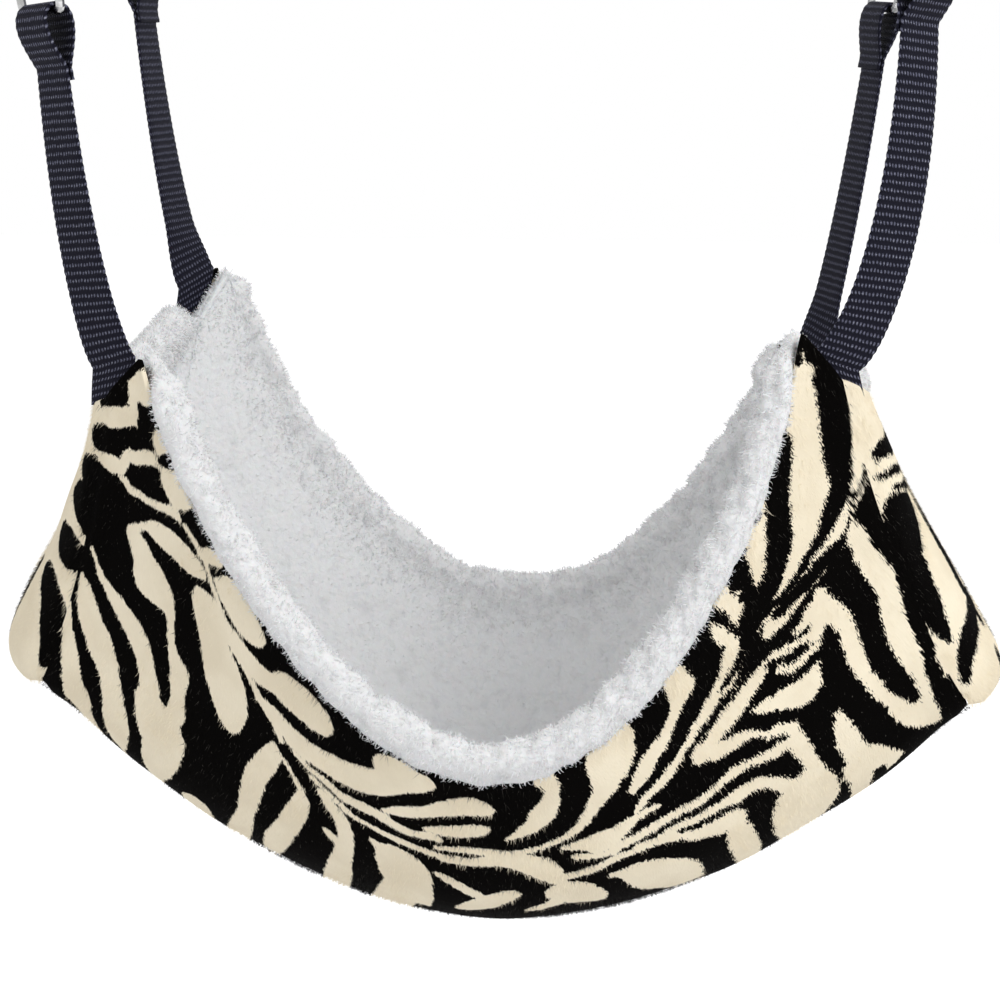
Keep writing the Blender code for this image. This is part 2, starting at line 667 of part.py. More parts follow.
class Strap:
    """The webbing at one corner: its sewn end, its free run and its loop."""

    def __init__(self, net, corner):
        self.corner = corner
        panel = net.grids["main"]
        end = net.grids["left" if corner.side < 0 else "right"]
        station = 0 if corner.side < 0 else -1
        second_station = 1 if corner.side < 0 else -2
        column = 0 if corner.end < 0 else -1
        second_column = 1 if corner.end < 0 else -2
        seam = panel[station]
        inner = panel[second_station]
        self.net = net
        self.top = (end[0, second_column], seam[column], inner[column])
        self.below = (end[1, second_column], seam[second_column], inner[second_column])
        self.up = corner.up()
        hinge_depth = (STRAP_OUT + STRAP_IN) / 2
        self.hinge = self.surface_point(0.0, FIT_GAP, hinge_depth)
        left, right = (self.surface_point(share, FIT_GAP, hinge_depth) for share in (-1.0, 1.0))
        self.fold_axis = unit(right - left)

    def surface_point(self, across_share, along, depth):
        """Place at the cut corner: across in half straps, along the wall above its top, and depth."""
        reach = abs(across_share) * STRAP_WIDTH / 2 / CORNER_CELL
        pick = 0 if across_share < 0 else 2
        middle, side = self.top[1], self.top[pick]
        middle_below, side_below = self.below[1], self.below[pick]
        top = blend(self.net.points[middle], self.net.points[side], reach)
        below = blend(self.net.points[middle_below], self.net.points[side_below], reach)
        inward = blend(self.net.inward[middle], self.net.inward[side], reach)
        return top + unit(top - below) * along + inward * depth

    def sewn_end(self, name, material):
        """The strap's end between cover and lining, bent as the corner is."""
        mesh = bmesh.new()
        rings = []
        for along in (-FIT_GAP, -STRAP_SEWN_DEPTH):
            ring = [self.surface_point(share, along, STRAP_OUT) for share in (-1.0, 0.0, 1.0)]
            ring += [self.surface_point(share, along, STRAP_IN) for share in (1.0, 0.0, -1.0)]
            rings.append([mesh.verts.new(point) for point in ring])
        loft(mesh, rings)
        return finish_mesh(name, mesh, material)

    def frames(self):
        """Middle, across and thickness directions up the free run and round the loop."""
        corner = self.corner
        inwards = -np.array((corner.side, corner.end, 0.0))
        outwards = np.array((corner.side, 0.0, 0.0))
        frames = []
        base_across = unit(self.fold_axis - self.up * np.dot(self.fold_axis, self.up))
        top_across = corner.across(corner.top_turn)
        top_across = unit(top_across - self.up * np.dot(top_across, self.up))
        if np.dot(base_across, top_across) < 0:
            base_across = -base_across
        for share in np.linspace(0, 1, STRAP_CELLS + 1):
            across = unit(blend(base_across, top_across, share ** corner.twist_power))
            bent = share ** STRAP_BOW_POWER
            bow = corner.bow * 4 * bent * (1 - bent)
            middle = self.hinge + self.up * (FIT_GAP + corner.run * share) + outwards * bow
            frames.append((middle, across, self.inner_side(across, inwards)))
        across = top_across
        inner = self.inner_side(across, inwards)
        foot = frames[-1][0]
        doubled = STRAP_THICKNESS + FIT_GAP
        for turn in np.linspace(0, 2 * math.pi, LOOP_CELLS + 1)[1:]:
            height = LOOP_HEIGHT * (1 - math.cos(turn)) / 2
            bulge = corner.loop_half_depth * math.sin(turn) * math.sin(turn / 2) ** LOOP_FULLNESS
            middle = foot + self.up * height + inner * (doubled * turn / (2 * math.pi) - bulge)
            frames.append((middle, across, None))
        frames.append((frames[-1][0] - self.up * LOOP_TAIL, across, None))
        return self.square_up(frames)

    def inner_side(self, across, inwards):
        """Thickness direction that faces the pouch's middle."""
        inner = unit(np.cross(self.up, across))
        return inner if np.dot(inner, inwards) > 0 else -inner

    def square_up(self, frames):
        """Set each loop frame's thickness square to the way the webbing runs there."""
        squared = []
        last = len(frames) - 1
        for place, (middle, across, thick) in enumerate(frames):
            if thick is None or place == STRAP_CELLS:
                following = frames[min(place + 1, last)][0]
                previous = frames[max(place - 1, 0)][0]
                if place == last:
                    following = middle
                along = unit(following - previous)
                thick = unit(np.cross(along, across))
                reference = squared[-1][2]
                if np.dot(thick, reference) < 0:
                    thick = -thick
            squared.append((middle, across, thick))
        return squared

    def free_run(self, name, material):
        """The strap above its fold, with the loop at its top."""
        mesh = bmesh.new()
        rings = []
        half = STRAP_WIDTH / 2
        slant = self.fold_axis / np.dot(self.fold_axis, self.frames()[0][1]) * half
        for place, (middle, across, thick) in enumerate(self.frames()):
            share = ease(min(place, STRAP_CELLS) * self.corner.run / STRAP_CELLS / STRAP_FOLD_EASE)
            side = blend(slant, across * half, share) if place <= STRAP_CELLS else across * half
            edge = thick * STRAP_THICKNESS / 2
            outline = (-side - edge, side - edge, side + edge, -side + edge)
            rings.append([mesh.verts.new(middle + corner) for corner in outline])
        loft(mesh, rings)
        thing = finish_mesh(name, mesh, material)
        return set_origin(thing, self.hinge)

    def bar_frame(self):
        """Place and turn of the hook at the loop: X along the eye's bar, Z up the strap."""
        frames = self.frames()
        across = frames[STRAP_CELLS][1]
        inner = self.inner_side(across, -np.array((self.corner.side, self.corner.end, 0.0)))
        rise = LOOP_HEIGHT - STRAP_THICKNESS / 2 - FIT_GAP - EYE_BAR_RADIUS
        place = frames[STRAP_CELLS][0] + self.up * rise + inner * (STRAP_THICKNESS + FIT_GAP) / 2
        thick = np.cross(self.up, across)
        turn = Matrix((across, thick, self.up)).transposed().to_4x4()
        return Matrix.Translation(Vector(place)) @ turn


def loft(mesh, rings):
    """Skin between rings of as many points, with both ends closed."""
    for one, two in zip(rings, rings[1:]):
        for step in range(len(one)):
            following = (step + 1) % len(one)
            mesh.faces.new((one[step], one[following], two[following], two[step]))
    mesh.faces.new(rings[0])
    mesh.faces.new(list(reversed(rings[-1])))


def set_origin(thing, place):
    """Move an object's origin to a place, with its shape left where it is."""
    thing.data.transform(Matrix.Translation(-Vector(place)))
    thing.location = Vector(place)
    return thing


# The hooks, in their own frame: X along the eye's bar, Z up, the eye's lower bar at zero


def eye_mesh(material):
    """The D-shaped eye with its bored hub."""
    lower = EYE_HALF_WIDTH - EYE_LOWER_BEND
    upper = EYE_HALF_WIDTH - EYE_UPPER_BEND
    upper_height = EYE_HEIGHT - EYE_UPPER_BEND
    quarter = math.pi / 2
    route = arc((lower, EYE_LOWER_BEND), EYE_LOWER_BEND, -quarter, 0, EYE_BEND_POINTS)
    route += arc((upper, upper_height), EYE_UPPER_BEND, 0, quarter, EYE_BEND_POINTS)
    route += arc((-upper, upper_height), EYE_UPPER_BEND, quarter, 2 * quarter, EYE_BEND_POINTS)
    route += arc((-lower, EYE_LOWER_BEND), EYE_LOWER_BEND, 2 * quarter, 3 * quarter, EYE_BEND_POINTS)
    ring = bar("eye_ring", [(across, 0.0, height) for across, height in route], EYE_BAR_RADIUS, cyclic=True)
    hub = turned("eye_hub", ((0.0, HUB_TOP), (HUB_RADIUS - HUB_ROUNDING, HUB_TOP),
                             (HUB_RADIUS, HUB_TOP - HUB_ROUNDING), (HUB_RADIUS, HUB_BOTTOM + HUB_ROUNDING),
                             (HUB_RADIUS - HUB_ROUNDING, HUB_BOTTOM), (0.0, HUB_BOTTOM)))
    bore_radius = SHANK_RADIUS + FIT_GAP
    bore = turned("eye_bore", ((0.0, HUB_TOP + CUT_OVERRUN), (bore_radius, HUB_TOP + CUT_OVERRUN),
                               (bore_radius, HUB_BOTTOM - CUT_OVERRUN), (0.0, HUB_BOTTOM - CUT_OVERRUN)))
    return combine("swivel_eye", ring, [("UNION", hub), ("DIFFERENCE", bore)], material)


def hook_mesh(material):
    """The hook: riveted shank, base with the gate's slot, and the horn that hooks over a bar."""
    rivet_top = HUB_BOTTOM - FIT_GAP
    rivet_tip = rivet_top - RIVET_HEIGHT
    shank = turned("hook_shank", ((0.0, COLLAR_TOP + FIT_GAP), (COLLAR_RADIUS, COLLAR_TOP + FIT_GAP),
                                  (COLLAR_RADIUS, HUB_TOP + FIT_GAP), (SHANK_RADIUS, HUB_TOP + FIT_GAP),
                                  (SHANK_RADIUS, rivet_top), (RIVET_RADIUS, rivet_top),
                                  (RIVET_RADIUS * RIVET_TIP_SHARE, rivet_tip), (0.0, rivet_tip)))
    chamfer = BASE_CHAMFER
    inner = HORN_BEND - HORN_RADIUS
    slot_edge = GATE_PIVOT_ACROSS - GATE_ROOT_RADIUS
    outline = ((-COLLAR_RADIUS, COLLAR_TOP), (COLLAR_RADIUS, COLLAR_TOP),
               (BASE_HALF_WIDTH, COLLAR_TOP + chamfer), (BASE_HALF_WIDTH, BASE_TOP - chamfer),
               (BASE_HALF_WIDTH - chamfer, BASE_TOP), (slot_edge - chamfer, BASE_TOP),
               (-inner, BASE_TOP + chamfer), (-BASE_HALF_WIDTH + chamfer / 2, BASE_TOP + 2 * chamfer),
               (-BASE_HALF_WIDTH, COLLAR_TOP + 2 * chamfer),
               (-BASE_HALF_WIDTH + chamfer, COLLAR_TOP + chamfer / 2))
    base = plate("hook_base", outline, BASE_THICKNESS)
    foot = (-HORN_BEND, BASE_TOP - chamfer)
    route = [foot] + arc((0.0, HORN_CENTRE_HEIGHT), HORN_BEND, math.pi, 0, HORN_ARC_POINTS)
    route += [(HORN_BEND, NOSE_HEIGHT)]
    horn = bar("hook_horn", [(across, 0.0, height) for across, height in route], HORN_RADIUS)
    slot_half = GATE_THICKNESS / 2 + FIT_GAP
    slot_floor = GATE_PIVOT_HEIGHT - GATE_ROOT_RADIUS - FIT_GAP
    slot = box("gate_slot", (slot_edge - SPRING_FOOT, -slot_half, slot_floor),
               (BASE_HALF_WIDTH + CUT_OVERRUN, slot_half, BASE_TOP + 2 * CUT_OVERRUN))
    hole = cross_pin("gate_pin_hole", PIN_RADIUS + FIT_GAP, BASE_THICKNESS + 2 * CUT_OVERRUN,
                     GATE_PIVOT_ACROSS, GATE_PIVOT_HEIGHT)
    steps = [("UNION", shank), ("UNION", horn), ("DIFFERENCE", slot), ("DIFFERENCE", hole)]
    return combine("hook_body", base, steps, material)


def gate_mesh(material):
    """The gate lever: round root on the pin, a bar up to the nose and a thumb tab."""
    top = NOSE_HEIGHT - FIT_GAP - GATE_PIVOT_HEIGHT
    half = GATE_WIDTH / 2
    nose_across = HORN_BEND - GATE_PIVOT_ACROSS
    outer = nose_across + half
    thumb = top * GATE_THUMB_PLACE_SHARE
    outline = arc((0.0, 0.0), GATE_ROOT_RADIUS, math.pi, 2 * math.pi, GATE_ROOT_POINTS)
    outline += [(outer, thumb - GATE_THUMB_HEIGHT / 2), (outer + GATE_THUMB_REACH, thumb),
                (outer + GATE_THUMB_REACH * GATE_THUMB_TIP_SHARE, thumb + GATE_THUMB_HEIGHT / 2),
                (outer, thumb + GATE_THUMB_HEIGHT / 2), (outer, top), (nose_across - half, top),
                (nose_across - half, GATE_ROOT_RADIUS)]
    lever = plate("gate_lever", outline, GATE_THICKNESS)
    hole = cross_pin("gate_bore", PIN_RADIUS + FIT_GAP, GATE_THICKNESS + 2 * CUT_OVERRUN, 0.0, 0.0)
    return combine("gate", lever, [("DIFFERENCE", hole)], material)


def pin_mesh(material):
    """The gate's pin, as long as the base is thick."""
    return combine("gate_pin", cross_pin("pin", PIN_RADIUS, BASE_THICKNESS, 0.0, 0.0), [], material)


def spring_mesh(material):
    """The leaf spring behind the gate: a foot in the slot's floor and a leaf that leans on the gate."""
    floor = GATE_PIVOT_HEIGHT - GATE_ROOT_RADIUS
    wall = GATE_PIVOT_ACROSS - GATE_ROOT_RADIUS - SPRING_FOOT + FIT_GAP
    gate_back = HORN_BEND - GATE_WIDTH / 2 - FIT_GAP
    bend = BASE_TOP - BASE_HEIGHT / 4
    tip = bend + SPRING_REACH
    thick = SPRING_THICKNESS
    outline = ((wall, floor), (wall + thick, floor), (wall + thick, bend),
               (gate_back, tip - thick), (gate_back, tip), (gate_back - thick, tip), (wall, bend + thick))
    leaf = plate("spring_leaf", outline, SPRING_WIDTH)
    return combine("gate_spring", leaf, [], material)


def add_copy(name, data, parent, place=(0.0, 0.0, 0.0)):
    """A node that shares its mesh with its sisters, carried by an empty."""
    thing = bpy.data.objects.new(name, data)
    PARTS.objects.link(thing)
    thing.parent = parent
    thing.location = place
    return thing


def add_hook(corner, frame, meshes):
    """The five pieces of one snap hook, on an empty at the eye's bar."""
    carrier = bpy.data.objects.new(corner.name + "_hook_frame", None)
    CUTTERS.objects.link(carrier)
    carrier.matrix_world = frame
    pivot = (GATE_PIVOT_ACROSS, 0.0, GATE_PIVOT_HEIGHT)
    add_copy(corner.name + "_swivel_eye", meshes["eye"], carrier)
    add_copy(corner.name + "_hook", meshes["hook"], carrier)
    add_copy(corner.name + "_gate", meshes["gate"], carrier, pivot)
    add_copy(corner.name + "_gate_pin", meshes["pin"], carrier, pivot)
    add_copy(corner.name + "_gate_spring", meshes["spring"], carrier)


def build_pouch(net, materials):
    """The sewn layers of the main panel and the two end panels."""
    last = LENGTH_CELLS + 1
    girth = 2 * WALL_CELLS + BOTTOM_CELLS - 1
    main_corners = {(0, 0), (0, girth), (last, 0), (last, girth)}
    end_corners = {(0, 0), (0, BOTTOM_CELLS - 1)}
    names = {"main": ("outer_cover", "wadding", "fleece_lining"),
             "left": ("left_end_cover", "left_end_wadding", "left_end_lining"),
             "right": ("right_end_cover", "right_end_wadding", "right_end_lining")}
    for panel, (cover, wadding, lining) in names.items():
        skip = main_corners if panel == "main" else end_corners
        layer(net, cover, panel, 0.0, COVER_IN, materials["plush"])
        layer(net, wadding, panel, WADDING_OUT, WADDING_IN, materials["wadding"], skip=skip)
        layer(net, lining, panel, LINING_OUT, LINING_IN, materials["fleece"], rolled=True)


def main():
    """Build the whole bed."""
    materials = {
        "plush": make_material("zebra_plush", ZEBRA_CREAM, CLOTH_ROUGHNESS),
        "wadding": make_material("wadding", WADDING_WHITE, CLOTH_ROUGHNESS),
        "fleece": make_material("sherpa_fleece", FLEECE_WHITE, CLOTH_ROUGHNESS),
        "webbing": make_material("webbing", WEBBING_NAVY, WEBBING_ROUGHNESS),
        "nickel": make_material("nickel_plate", NICKEL, METAL_ROUGHNESS, 1.0),
        "steel": make_material("spring_steel", SPRING_STEEL, METAL_ROUGHNESS, 1.0),
    }
    net = Net()
    build_pouch(net, materials)
    meshes = {
        "eye": eye_mesh(materials["nickel"]),
        "hook": hook_mesh(materials["nickel"]),
        "gate": gate_mesh(materials["nickel"]),
        "pin": pin_mesh(materials["steel"]),
        "spring": spring_mesh(materials["steel"]),
    }
    straps = {}
    for corner in CORNERS:
        strap = Strap(net, corner)
        straps[corner.name] = strap
        strap.sewn_end(corner.name + "_strap_sewn_end", materials["webbing"])
        strap.free_run(corner.name + "_strap", materials["webbing"])
        add_hook(corner, strap.bar_frame(), meshes)
    bpy.context.view_layer.update()
    return straps


clear_scene()
PARTS = new_collection("cat_hammock")
CUTTERS = new_collection("cutters")
STRAPS = main()
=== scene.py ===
"""Looks of a hanging cradle bed: plush cover, fleece lining, webbing straps and swivel snap hooks."""

import json
import logging
import math
from dataclasses import dataclass
from enum import Enum

import bmesh
import bpy
import numpy as np
from mathutils import Matrix, Vector


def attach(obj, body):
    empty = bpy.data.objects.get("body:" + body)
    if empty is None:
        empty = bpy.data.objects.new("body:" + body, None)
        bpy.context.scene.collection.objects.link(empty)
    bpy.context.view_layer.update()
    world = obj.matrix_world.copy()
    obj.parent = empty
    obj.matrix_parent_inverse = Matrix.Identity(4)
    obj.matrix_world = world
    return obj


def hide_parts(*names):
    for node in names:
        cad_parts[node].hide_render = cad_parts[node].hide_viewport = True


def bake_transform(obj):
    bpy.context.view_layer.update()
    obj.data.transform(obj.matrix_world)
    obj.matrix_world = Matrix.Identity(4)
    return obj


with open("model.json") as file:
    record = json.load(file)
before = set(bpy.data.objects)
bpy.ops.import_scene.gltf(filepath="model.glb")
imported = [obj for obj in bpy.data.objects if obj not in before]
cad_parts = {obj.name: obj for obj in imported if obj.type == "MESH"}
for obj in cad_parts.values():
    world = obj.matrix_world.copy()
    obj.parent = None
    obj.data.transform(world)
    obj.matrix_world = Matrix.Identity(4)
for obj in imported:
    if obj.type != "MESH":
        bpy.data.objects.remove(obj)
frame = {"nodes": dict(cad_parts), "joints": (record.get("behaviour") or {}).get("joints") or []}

LOG = logging.getLogger("cradle_bed")
BED_BODY = "bed"
Strokes = tuple[tuple[int, tuple[tuple[float, float, float], ...]], ...]


class StrapCorner(Enum):
    """The four corners, each with its side, its end and the sizes of its cut corner and strap."""

    FRONT_LEFT = ("front_left", -1, -1, 0.157, 0.220, 27.0, 0.126, 0.0045, 44.0)
    FRONT_RIGHT = ("front_right", 1, -1, 0.155, 0.216, 27.0, 0.144, 0.0110, 48.0)
    REAR_LEFT = ("rear_left", -1, 1, 0.163, 0.206, 55.0, 0.134, 0.0035, 80.0)
    REAR_RIGHT = ("rear_right", 1, 1, 0.155, 0.238, 55.0, 0.145, 0.0025, 70.0)

    def __init__(self, label: str, side: int, end: int, out: float, drop: float,
                 turn: float, run: float, bow: float, top_turn: float) -> None:
        self.label = label
        self.side = side
        self.end = end
        self.out = out
        self.drop = drop
        self.turn = math.radians(turn)
        self.run = run
        self.bow = bow
        self.top_turn = math.radians(top_turn)

    @property
    def twist_power(self) -> float:
        """How late along its run the strap twists."""
        return 1.0 if self.end < 0 else 0.3

    @property
    def loop_half_depth(self) -> float:
        """Half the depth of the open loop at the strap's top."""
        return 0.0085 if self.end < 0 else 0.0065

    def place(self) -> np.ndarray:
        """Middle of the cut corner's top edge."""
        return np.array((self.side * self.out, self.end * 0.100, -self.drop))

    def across(self, turn: float) -> np.ndarray:
        """Level direction across the strap, towards the long rim."""
        return np.array((-self.side * math.cos(turn), self.end * math.sin(turn), 0.0))


def corner_at(side: int, end: int) -> StrapCorner:
    """The corner on the given side and end."""
    return next(corner for corner in StrapCorner if corner.side == side and corner.end == end)


def unit(vectors: np.ndarray) -> np.ndarray:
    """The vectors at length one."""
    vectors = np.asarray(vectors, dtype=float)
    return vectors / np.maximum(np.linalg.norm(vectors, axis=-1, keepdims=True), 1e-12)


def mix(first: np.ndarray, second: np.ndarray, share: np.ndarray) -> np.ndarray:
    """Straight mix of two values or places."""
    return first + (second - first) * share


def smooth_step(share: np.ndarray) -> np.ndarray:
    """Smooth step from 0 to 1."""
    share = np.clip(share, 0.0, 1.0)
    return share * share * (3 - 2 * share)


def column(values: np.ndarray) -> np.ndarray:
    """The values with a last axis, to scale places."""
    return np.asarray(values, dtype=float)[..., None]


def curds(places: np.ndarray, cell: float, seed: int) -> np.ndarray:
    """Height of rounded tufts, from 0 in the creases to 1 on top.

    Args:
        places: Places in metres.
        cell: Distance between tufts.
        seed: Number that picks the scatter.

    Returns:
        One height for each place.
    """
    scaled = places / cell
    base = np.floor(scaled)
    nearest = np.full(places.shape[:-1], 9.0)
    for step in np.ndindex(3, 3, 3):
        corner = base + np.array(step) - 1
        key = corner @ np.array((127.1, 311.7, 74.7)) + seed * 19.19
        jitter = np.stack([np.sin(key * factor) * 43758.5453 for factor in (1.0, 1.7, 2.3)], axis=-1)
        centre = corner + 0.15 + 0.7 * (jitter - np.floor(jitter))
        distance = np.sum((scaled - centre) ** 2, axis=-1)
        nearest = np.minimum(nearest, distance)
    return np.clip(1 - nearest / 0.8, 0.0, 1.0)


def waves(places: np.ndarray, length: float, seed: int) -> np.ndarray:
    """Soft unevenness of cloth between -1 and 1."""
    total = np.zeros(places.shape[:-1])
    for number in range(6):
        angle = seed * 1.3 + number * 2.4
        tilt = math.sin(seed + number * 1.7)
        way = unit(np.array((math.cos(angle), math.sin(angle), tilt)))
        total += np.sin(places @ way * (2 * math.pi / (length * (0.7 + 0.16 * number))) + angle * 5)
    return total / 3.2


@dataclass(frozen=True)
class CradleShape:
    """The cradle's outer surface as smooth functions of the same sizes as the CAD solids."""

    corner_cell: float = 0.017
    corner_slant: float = 0.004
    front_rim_sag: float = 0.181
    rear_rim_sag: float = 0.166
    rim_spread: float = 0.022
    rim_bow_share: float = 0.84
    rim_end_power: float = 12
    lower_half_span: float = 0.214
    lower_shift: float = 0.007
    lower_end_half_depth: float = 0.056
    lower_mid_half_depth: float = 0.082
    bottom_drop: float = 0.380
    bottom_sag: float = 0.115
    seam_inset: float = 0.006
    seam_length_share: float = 0.93
    end_bulge: float = 0.028
    bulge_levels: tuple[float, ...] = (0.0, 0.23, 0.46, 0.68, 0.87)
    left_bulge_shares: tuple[float, ...] = (0.26, 0.46, 0.80, 1.14, 1.16)
    right_bulge_shares: tuple[float, ...] = (0.42, 0.60, 0.82, 0.96, 1.0)
    bulge_blur: float = 0.09
    bulge_foot: float = 0.80
    foot_share: float = 0.20
    bulge_powers: tuple[float, float] = (10.0, 3.0)
    end_rim_dip: float = 0.004
    seam_reach: float = 1.085
    seam_turn: float = 0.30
    wall_turns: tuple[float, float] = (1.25, 0.55)
    front_rim_lean: float = 0.012
    front_right_peak: float = 0.010
    peak_share: float = 0.16
    slipped_corners: tuple[float, float] = (0.10, 0.04)

    def rim(self, end: int, share: np.ndarray) -> np.ndarray:
        """Place on a long rim for a share of -1 at its left end to 1 at its right."""
        left, right = (self.rim_end(corner_at(side, end)) for side in (-1, 1))
        sag = self.front_rim_sag if end < 0 else self.rear_rim_sag
        lift = self.rim_bow_share * share ** 2 + (1 - self.rim_bow_share) * np.abs(share) ** self.rim_end_power
        place = mix(left, right, column((share + 1) / 2))
        place[..., 1] += end * self.rim_spread * (1 - share ** 2)
        place[..., 2] -= sag * (1 - lift)
        if end < 0:
            place[..., 0] += self.front_rim_lean * (1 - share ** 2)
            near_tip = np.clip((share - 1 + self.peak_share) / self.peak_share, 0, 1)
            place[..., 2] += self.front_right_peak * near_tip ** 2
        return place

    def rim_end(self, corner: StrapCorner) -> np.ndarray:
        """Where a long rim starts, on the inner end of the cut corner."""
        return corner.place() + self.corner_cell * corner.across(corner.turn) + np.array((0, 0, self.corner_slant))

    def lower(self, end: int, share: np.ndarray) -> np.ndarray:
        """Place on the edge where a long wall turns into the bottom."""
        depth = mix(self.lower_mid_half_depth, self.lower_end_half_depth, share ** 2)
        height = -self.bottom_drop - self.bottom_sag * (1 - share ** 2)
        return np.stack((self.lower_half_span * share + self.lower_shift, end * depth, height), axis=-1)

    def section(self, points: list[np.ndarray], turn: np.ndarray, down: np.ndarray, side: np.ndarray) -> np.ndarray:
        """Rounded line through a rim, two lower edges and the other rim.

        Args:
            points: The four places of the line's corners.
            turn: How much of the line each rounding takes.
            down: Share from 0 at the front rim to 3 at the rear rim.
            side: Share along the bed, for the waist of the seams.

        Returns:
            The places on the line.
        """
        half = turn / 2
        place = points[0] + (points[1] - points[0]) * column(down)
        for number in (1, 2):
            kink = points[number + 1] - 2 * points[number] + points[number - 1]
            before = np.maximum(down - number + half, 0) ** 2
            after = np.maximum(down - number - half, 0) ** 2
            place = place + kink * column((before - after) / (4 * half))
        wall = np.minimum(np.minimum(down, 3 - down), 1.0)
        inset = self.seam_inset * np.sign(side) * np.abs(side) ** 3
        place[..., 0] -= inset * 4 * wall * (1 - wall)
        return place

    def seam(self, side: int, down: np.ndarray) -> np.ndarray:
        """Place on the seam between the long panel and an end panel."""
        down = np.asarray(down, dtype=float)
        share = np.full(down.shape, float(side))
        front = corner_at(side, -1).place()
        rear = corner_at(side, 1).place()
        points = [front, self.lower(-1, share), self.lower(1, share), rear]
        slip = self.slipped_corners[0 if side < 0 else 1]
        points[0], points[3] = mix(front, points[1], slip), mix(rear, points[2], slip)
        return self.section(points, np.full(down.shape, self.seam_turn), down, share)

    def long_panel(self, share: np.ndarray, down: np.ndarray) -> np.ndarray:
        """Place on the long panel, from seam to seam and from the front rim to the rear rim."""
        share, down = np.broadcast_arrays(np.asarray(share, dtype=float), np.asarray(down, dtype=float))
        within = np.clip(share, -1, 1)
        lower_share = within * self.seam_length_share
        points = [self.rim(-1, within), self.lower(-1, lower_share), self.lower(1, lower_share), self.rim(1, within)]
        place = self.section(points, mix(*self.wall_turns, within ** 2), down, within)
        reach = np.clip((np.abs(share) - 1) / (self.seam_reach - 1), 0, None)
        seam = np.where(column(share) < 0, self.seam(-1, down), self.seam(1, down))
        return mix(place, seam, column(reach))

    def stations(self, number: int) -> np.ndarray:
        """Shares along the long panel that stand evenly apart on its rim and its lower edge.

        Args:
            number: How many cells lie between the two seams.

        Returns:
            The shares, from seam to seam.
        """
        share = np.linspace(-self.seam_reach, self.seam_reach, 2001)
        run = np.zeros(len(share))
        for down in (0.0, 0.5, 1.5, 2.5, 3.0):
            line = self.long_panel(share, np.full(len(share), down))
            run[1:] += np.cumsum(np.linalg.norm(np.diff(line, axis=0), axis=1))
        return np.interp(np.linspace(0, run[-1], number + 1), run, share)

    def end_panel(self, side: int, across: np.ndarray, depth: np.ndarray) -> np.ndarray:
        """Place on an end panel, from its front seam to its rear one and from its rim to its lower seam."""
        across, depth = np.broadcast_arrays(np.asarray(across, dtype=float), np.asarray(depth, dtype=float))
        front, rear = self.seam(side, depth), self.seam(side, 3 - depth)
        power = mix(*self.bulge_powers, smooth_step(2 * depth))
        middle = 1 - np.abs(np.clip(2 * across - 1, -1, 1)) ** power
        shares = self.left_bulge_shares if side < 0 else self.right_bulge_shares
        spread = np.minimum(self.bulge_blur, np.clip(depth, 0, 1))
        bulge = np.mean([np.interp(depth + spread * step, self.bulge_levels, shares)
                         for step in np.linspace(-1, 1, 9)], axis=0)
        low = np.clip(depth - self.bulge_foot, 0, self.foot_share) / self.foot_share
        round_under = np.sqrt(np.clip(1 - low ** 2, 0, 1))
        dip = (self.corner_slant + self.end_rim_dip * (1 - (2 * across - 1) ** 2)) * middle * (1 - depth)
        place = mix(front, rear, column(across))
        straight = mix(self.seam(side, 1 + 0 * across), self.seam(side, 2 + 0 * across), column(across))
        place = place + (self.seam(side, 1 + across) - straight) * column(np.clip(depth, 0, 1) ** 8)
        place[..., 0] += side * self.end_bulge * bulge * round_under * middle
        place[..., 2] -= dip
        return place


@dataclass(frozen=True)
class Panel:
    """One sewn panel: the long one, or an end one on a side."""

    shape: CradleShape
    side: int = 0
    step: float = 0.004
    centre_height: float = -0.30
    across_reach: float = 0.10
    foot_reach: float = 0.06

    def surface(self, first: np.ndarray, second: np.ndarray) -> np.ndarray:
        """Place on the panel's outer surface."""
        if self.side:
            return self.shape.end_panel(self.side, first, second)
        return self.shape.long_panel(first, second)

    def slope(self, first: np.ndarray, second: np.ndarray) -> tuple[np.ndarray, np.ndarray]:
        """Directions along the panel's two ways."""
        along = self.surface(first + self.step, second) - self.surface(first - self.step, second)
        down = self.surface(first, second + self.step) - self.surface(first, second - self.step)
        return unit(along), unit(down)

    def inward(self, first: np.ndarray, second: np.ndarray) -> np.ndarray:
        """Direction into the bed, which at a seam halves the angle between the panels."""
        own = self.plain_inward(first, second)
        if self.side:
            from_side = np.minimum(first, 1 - first) / self.across_reach
            from_foot = (1 - second) / self.foot_reach
            near = np.minimum(from_side, from_foot)
            down = np.where(from_side < from_foot, np.where(first < 0.5, second, 3 - second), 1 + first)
            other = Panel(self.shape).plain_inward(np.full(first.shape, self.side * self.shape.seam_reach), down)
        else:
            near = (self.shape.seam_reach - np.abs(first)) / (self.shape.seam_reach - 1)
            across = np.where(second < 1, 0.02, np.where(second > 2, 0.98, second - 1))
            depth = np.clip(np.minimum(second, 3 - second), 0, 0.97)
            sides = [Panel(self.shape, side).plain_inward(across, depth) for side in (-1, 1)]
            other = np.where(column(first) < 0, sides[0], sides[1])
        weight = column(0.5 * smooth_step(1 - near))
        halved = unit(mix(own, other, weight))
        square = np.sum(halved * own, axis=-1, keepdims=True)
        return halved / np.maximum(square, 0.6)

    def plain_inward(self, first: np.ndarray, second: np.ndarray) -> np.ndarray:
        """Direction square to the panel, into the bed."""
        along, down = self.slope(first, second)
        square = unit(np.cross(along, down))
        centre = np.array((self.shape.lower_shift, 0.0, self.centre_height))
        flip = np.sum(square * (centre - self.surface(first, second)), axis=-1, keepdims=True)
        return np.where(flip < 0, -square, square)


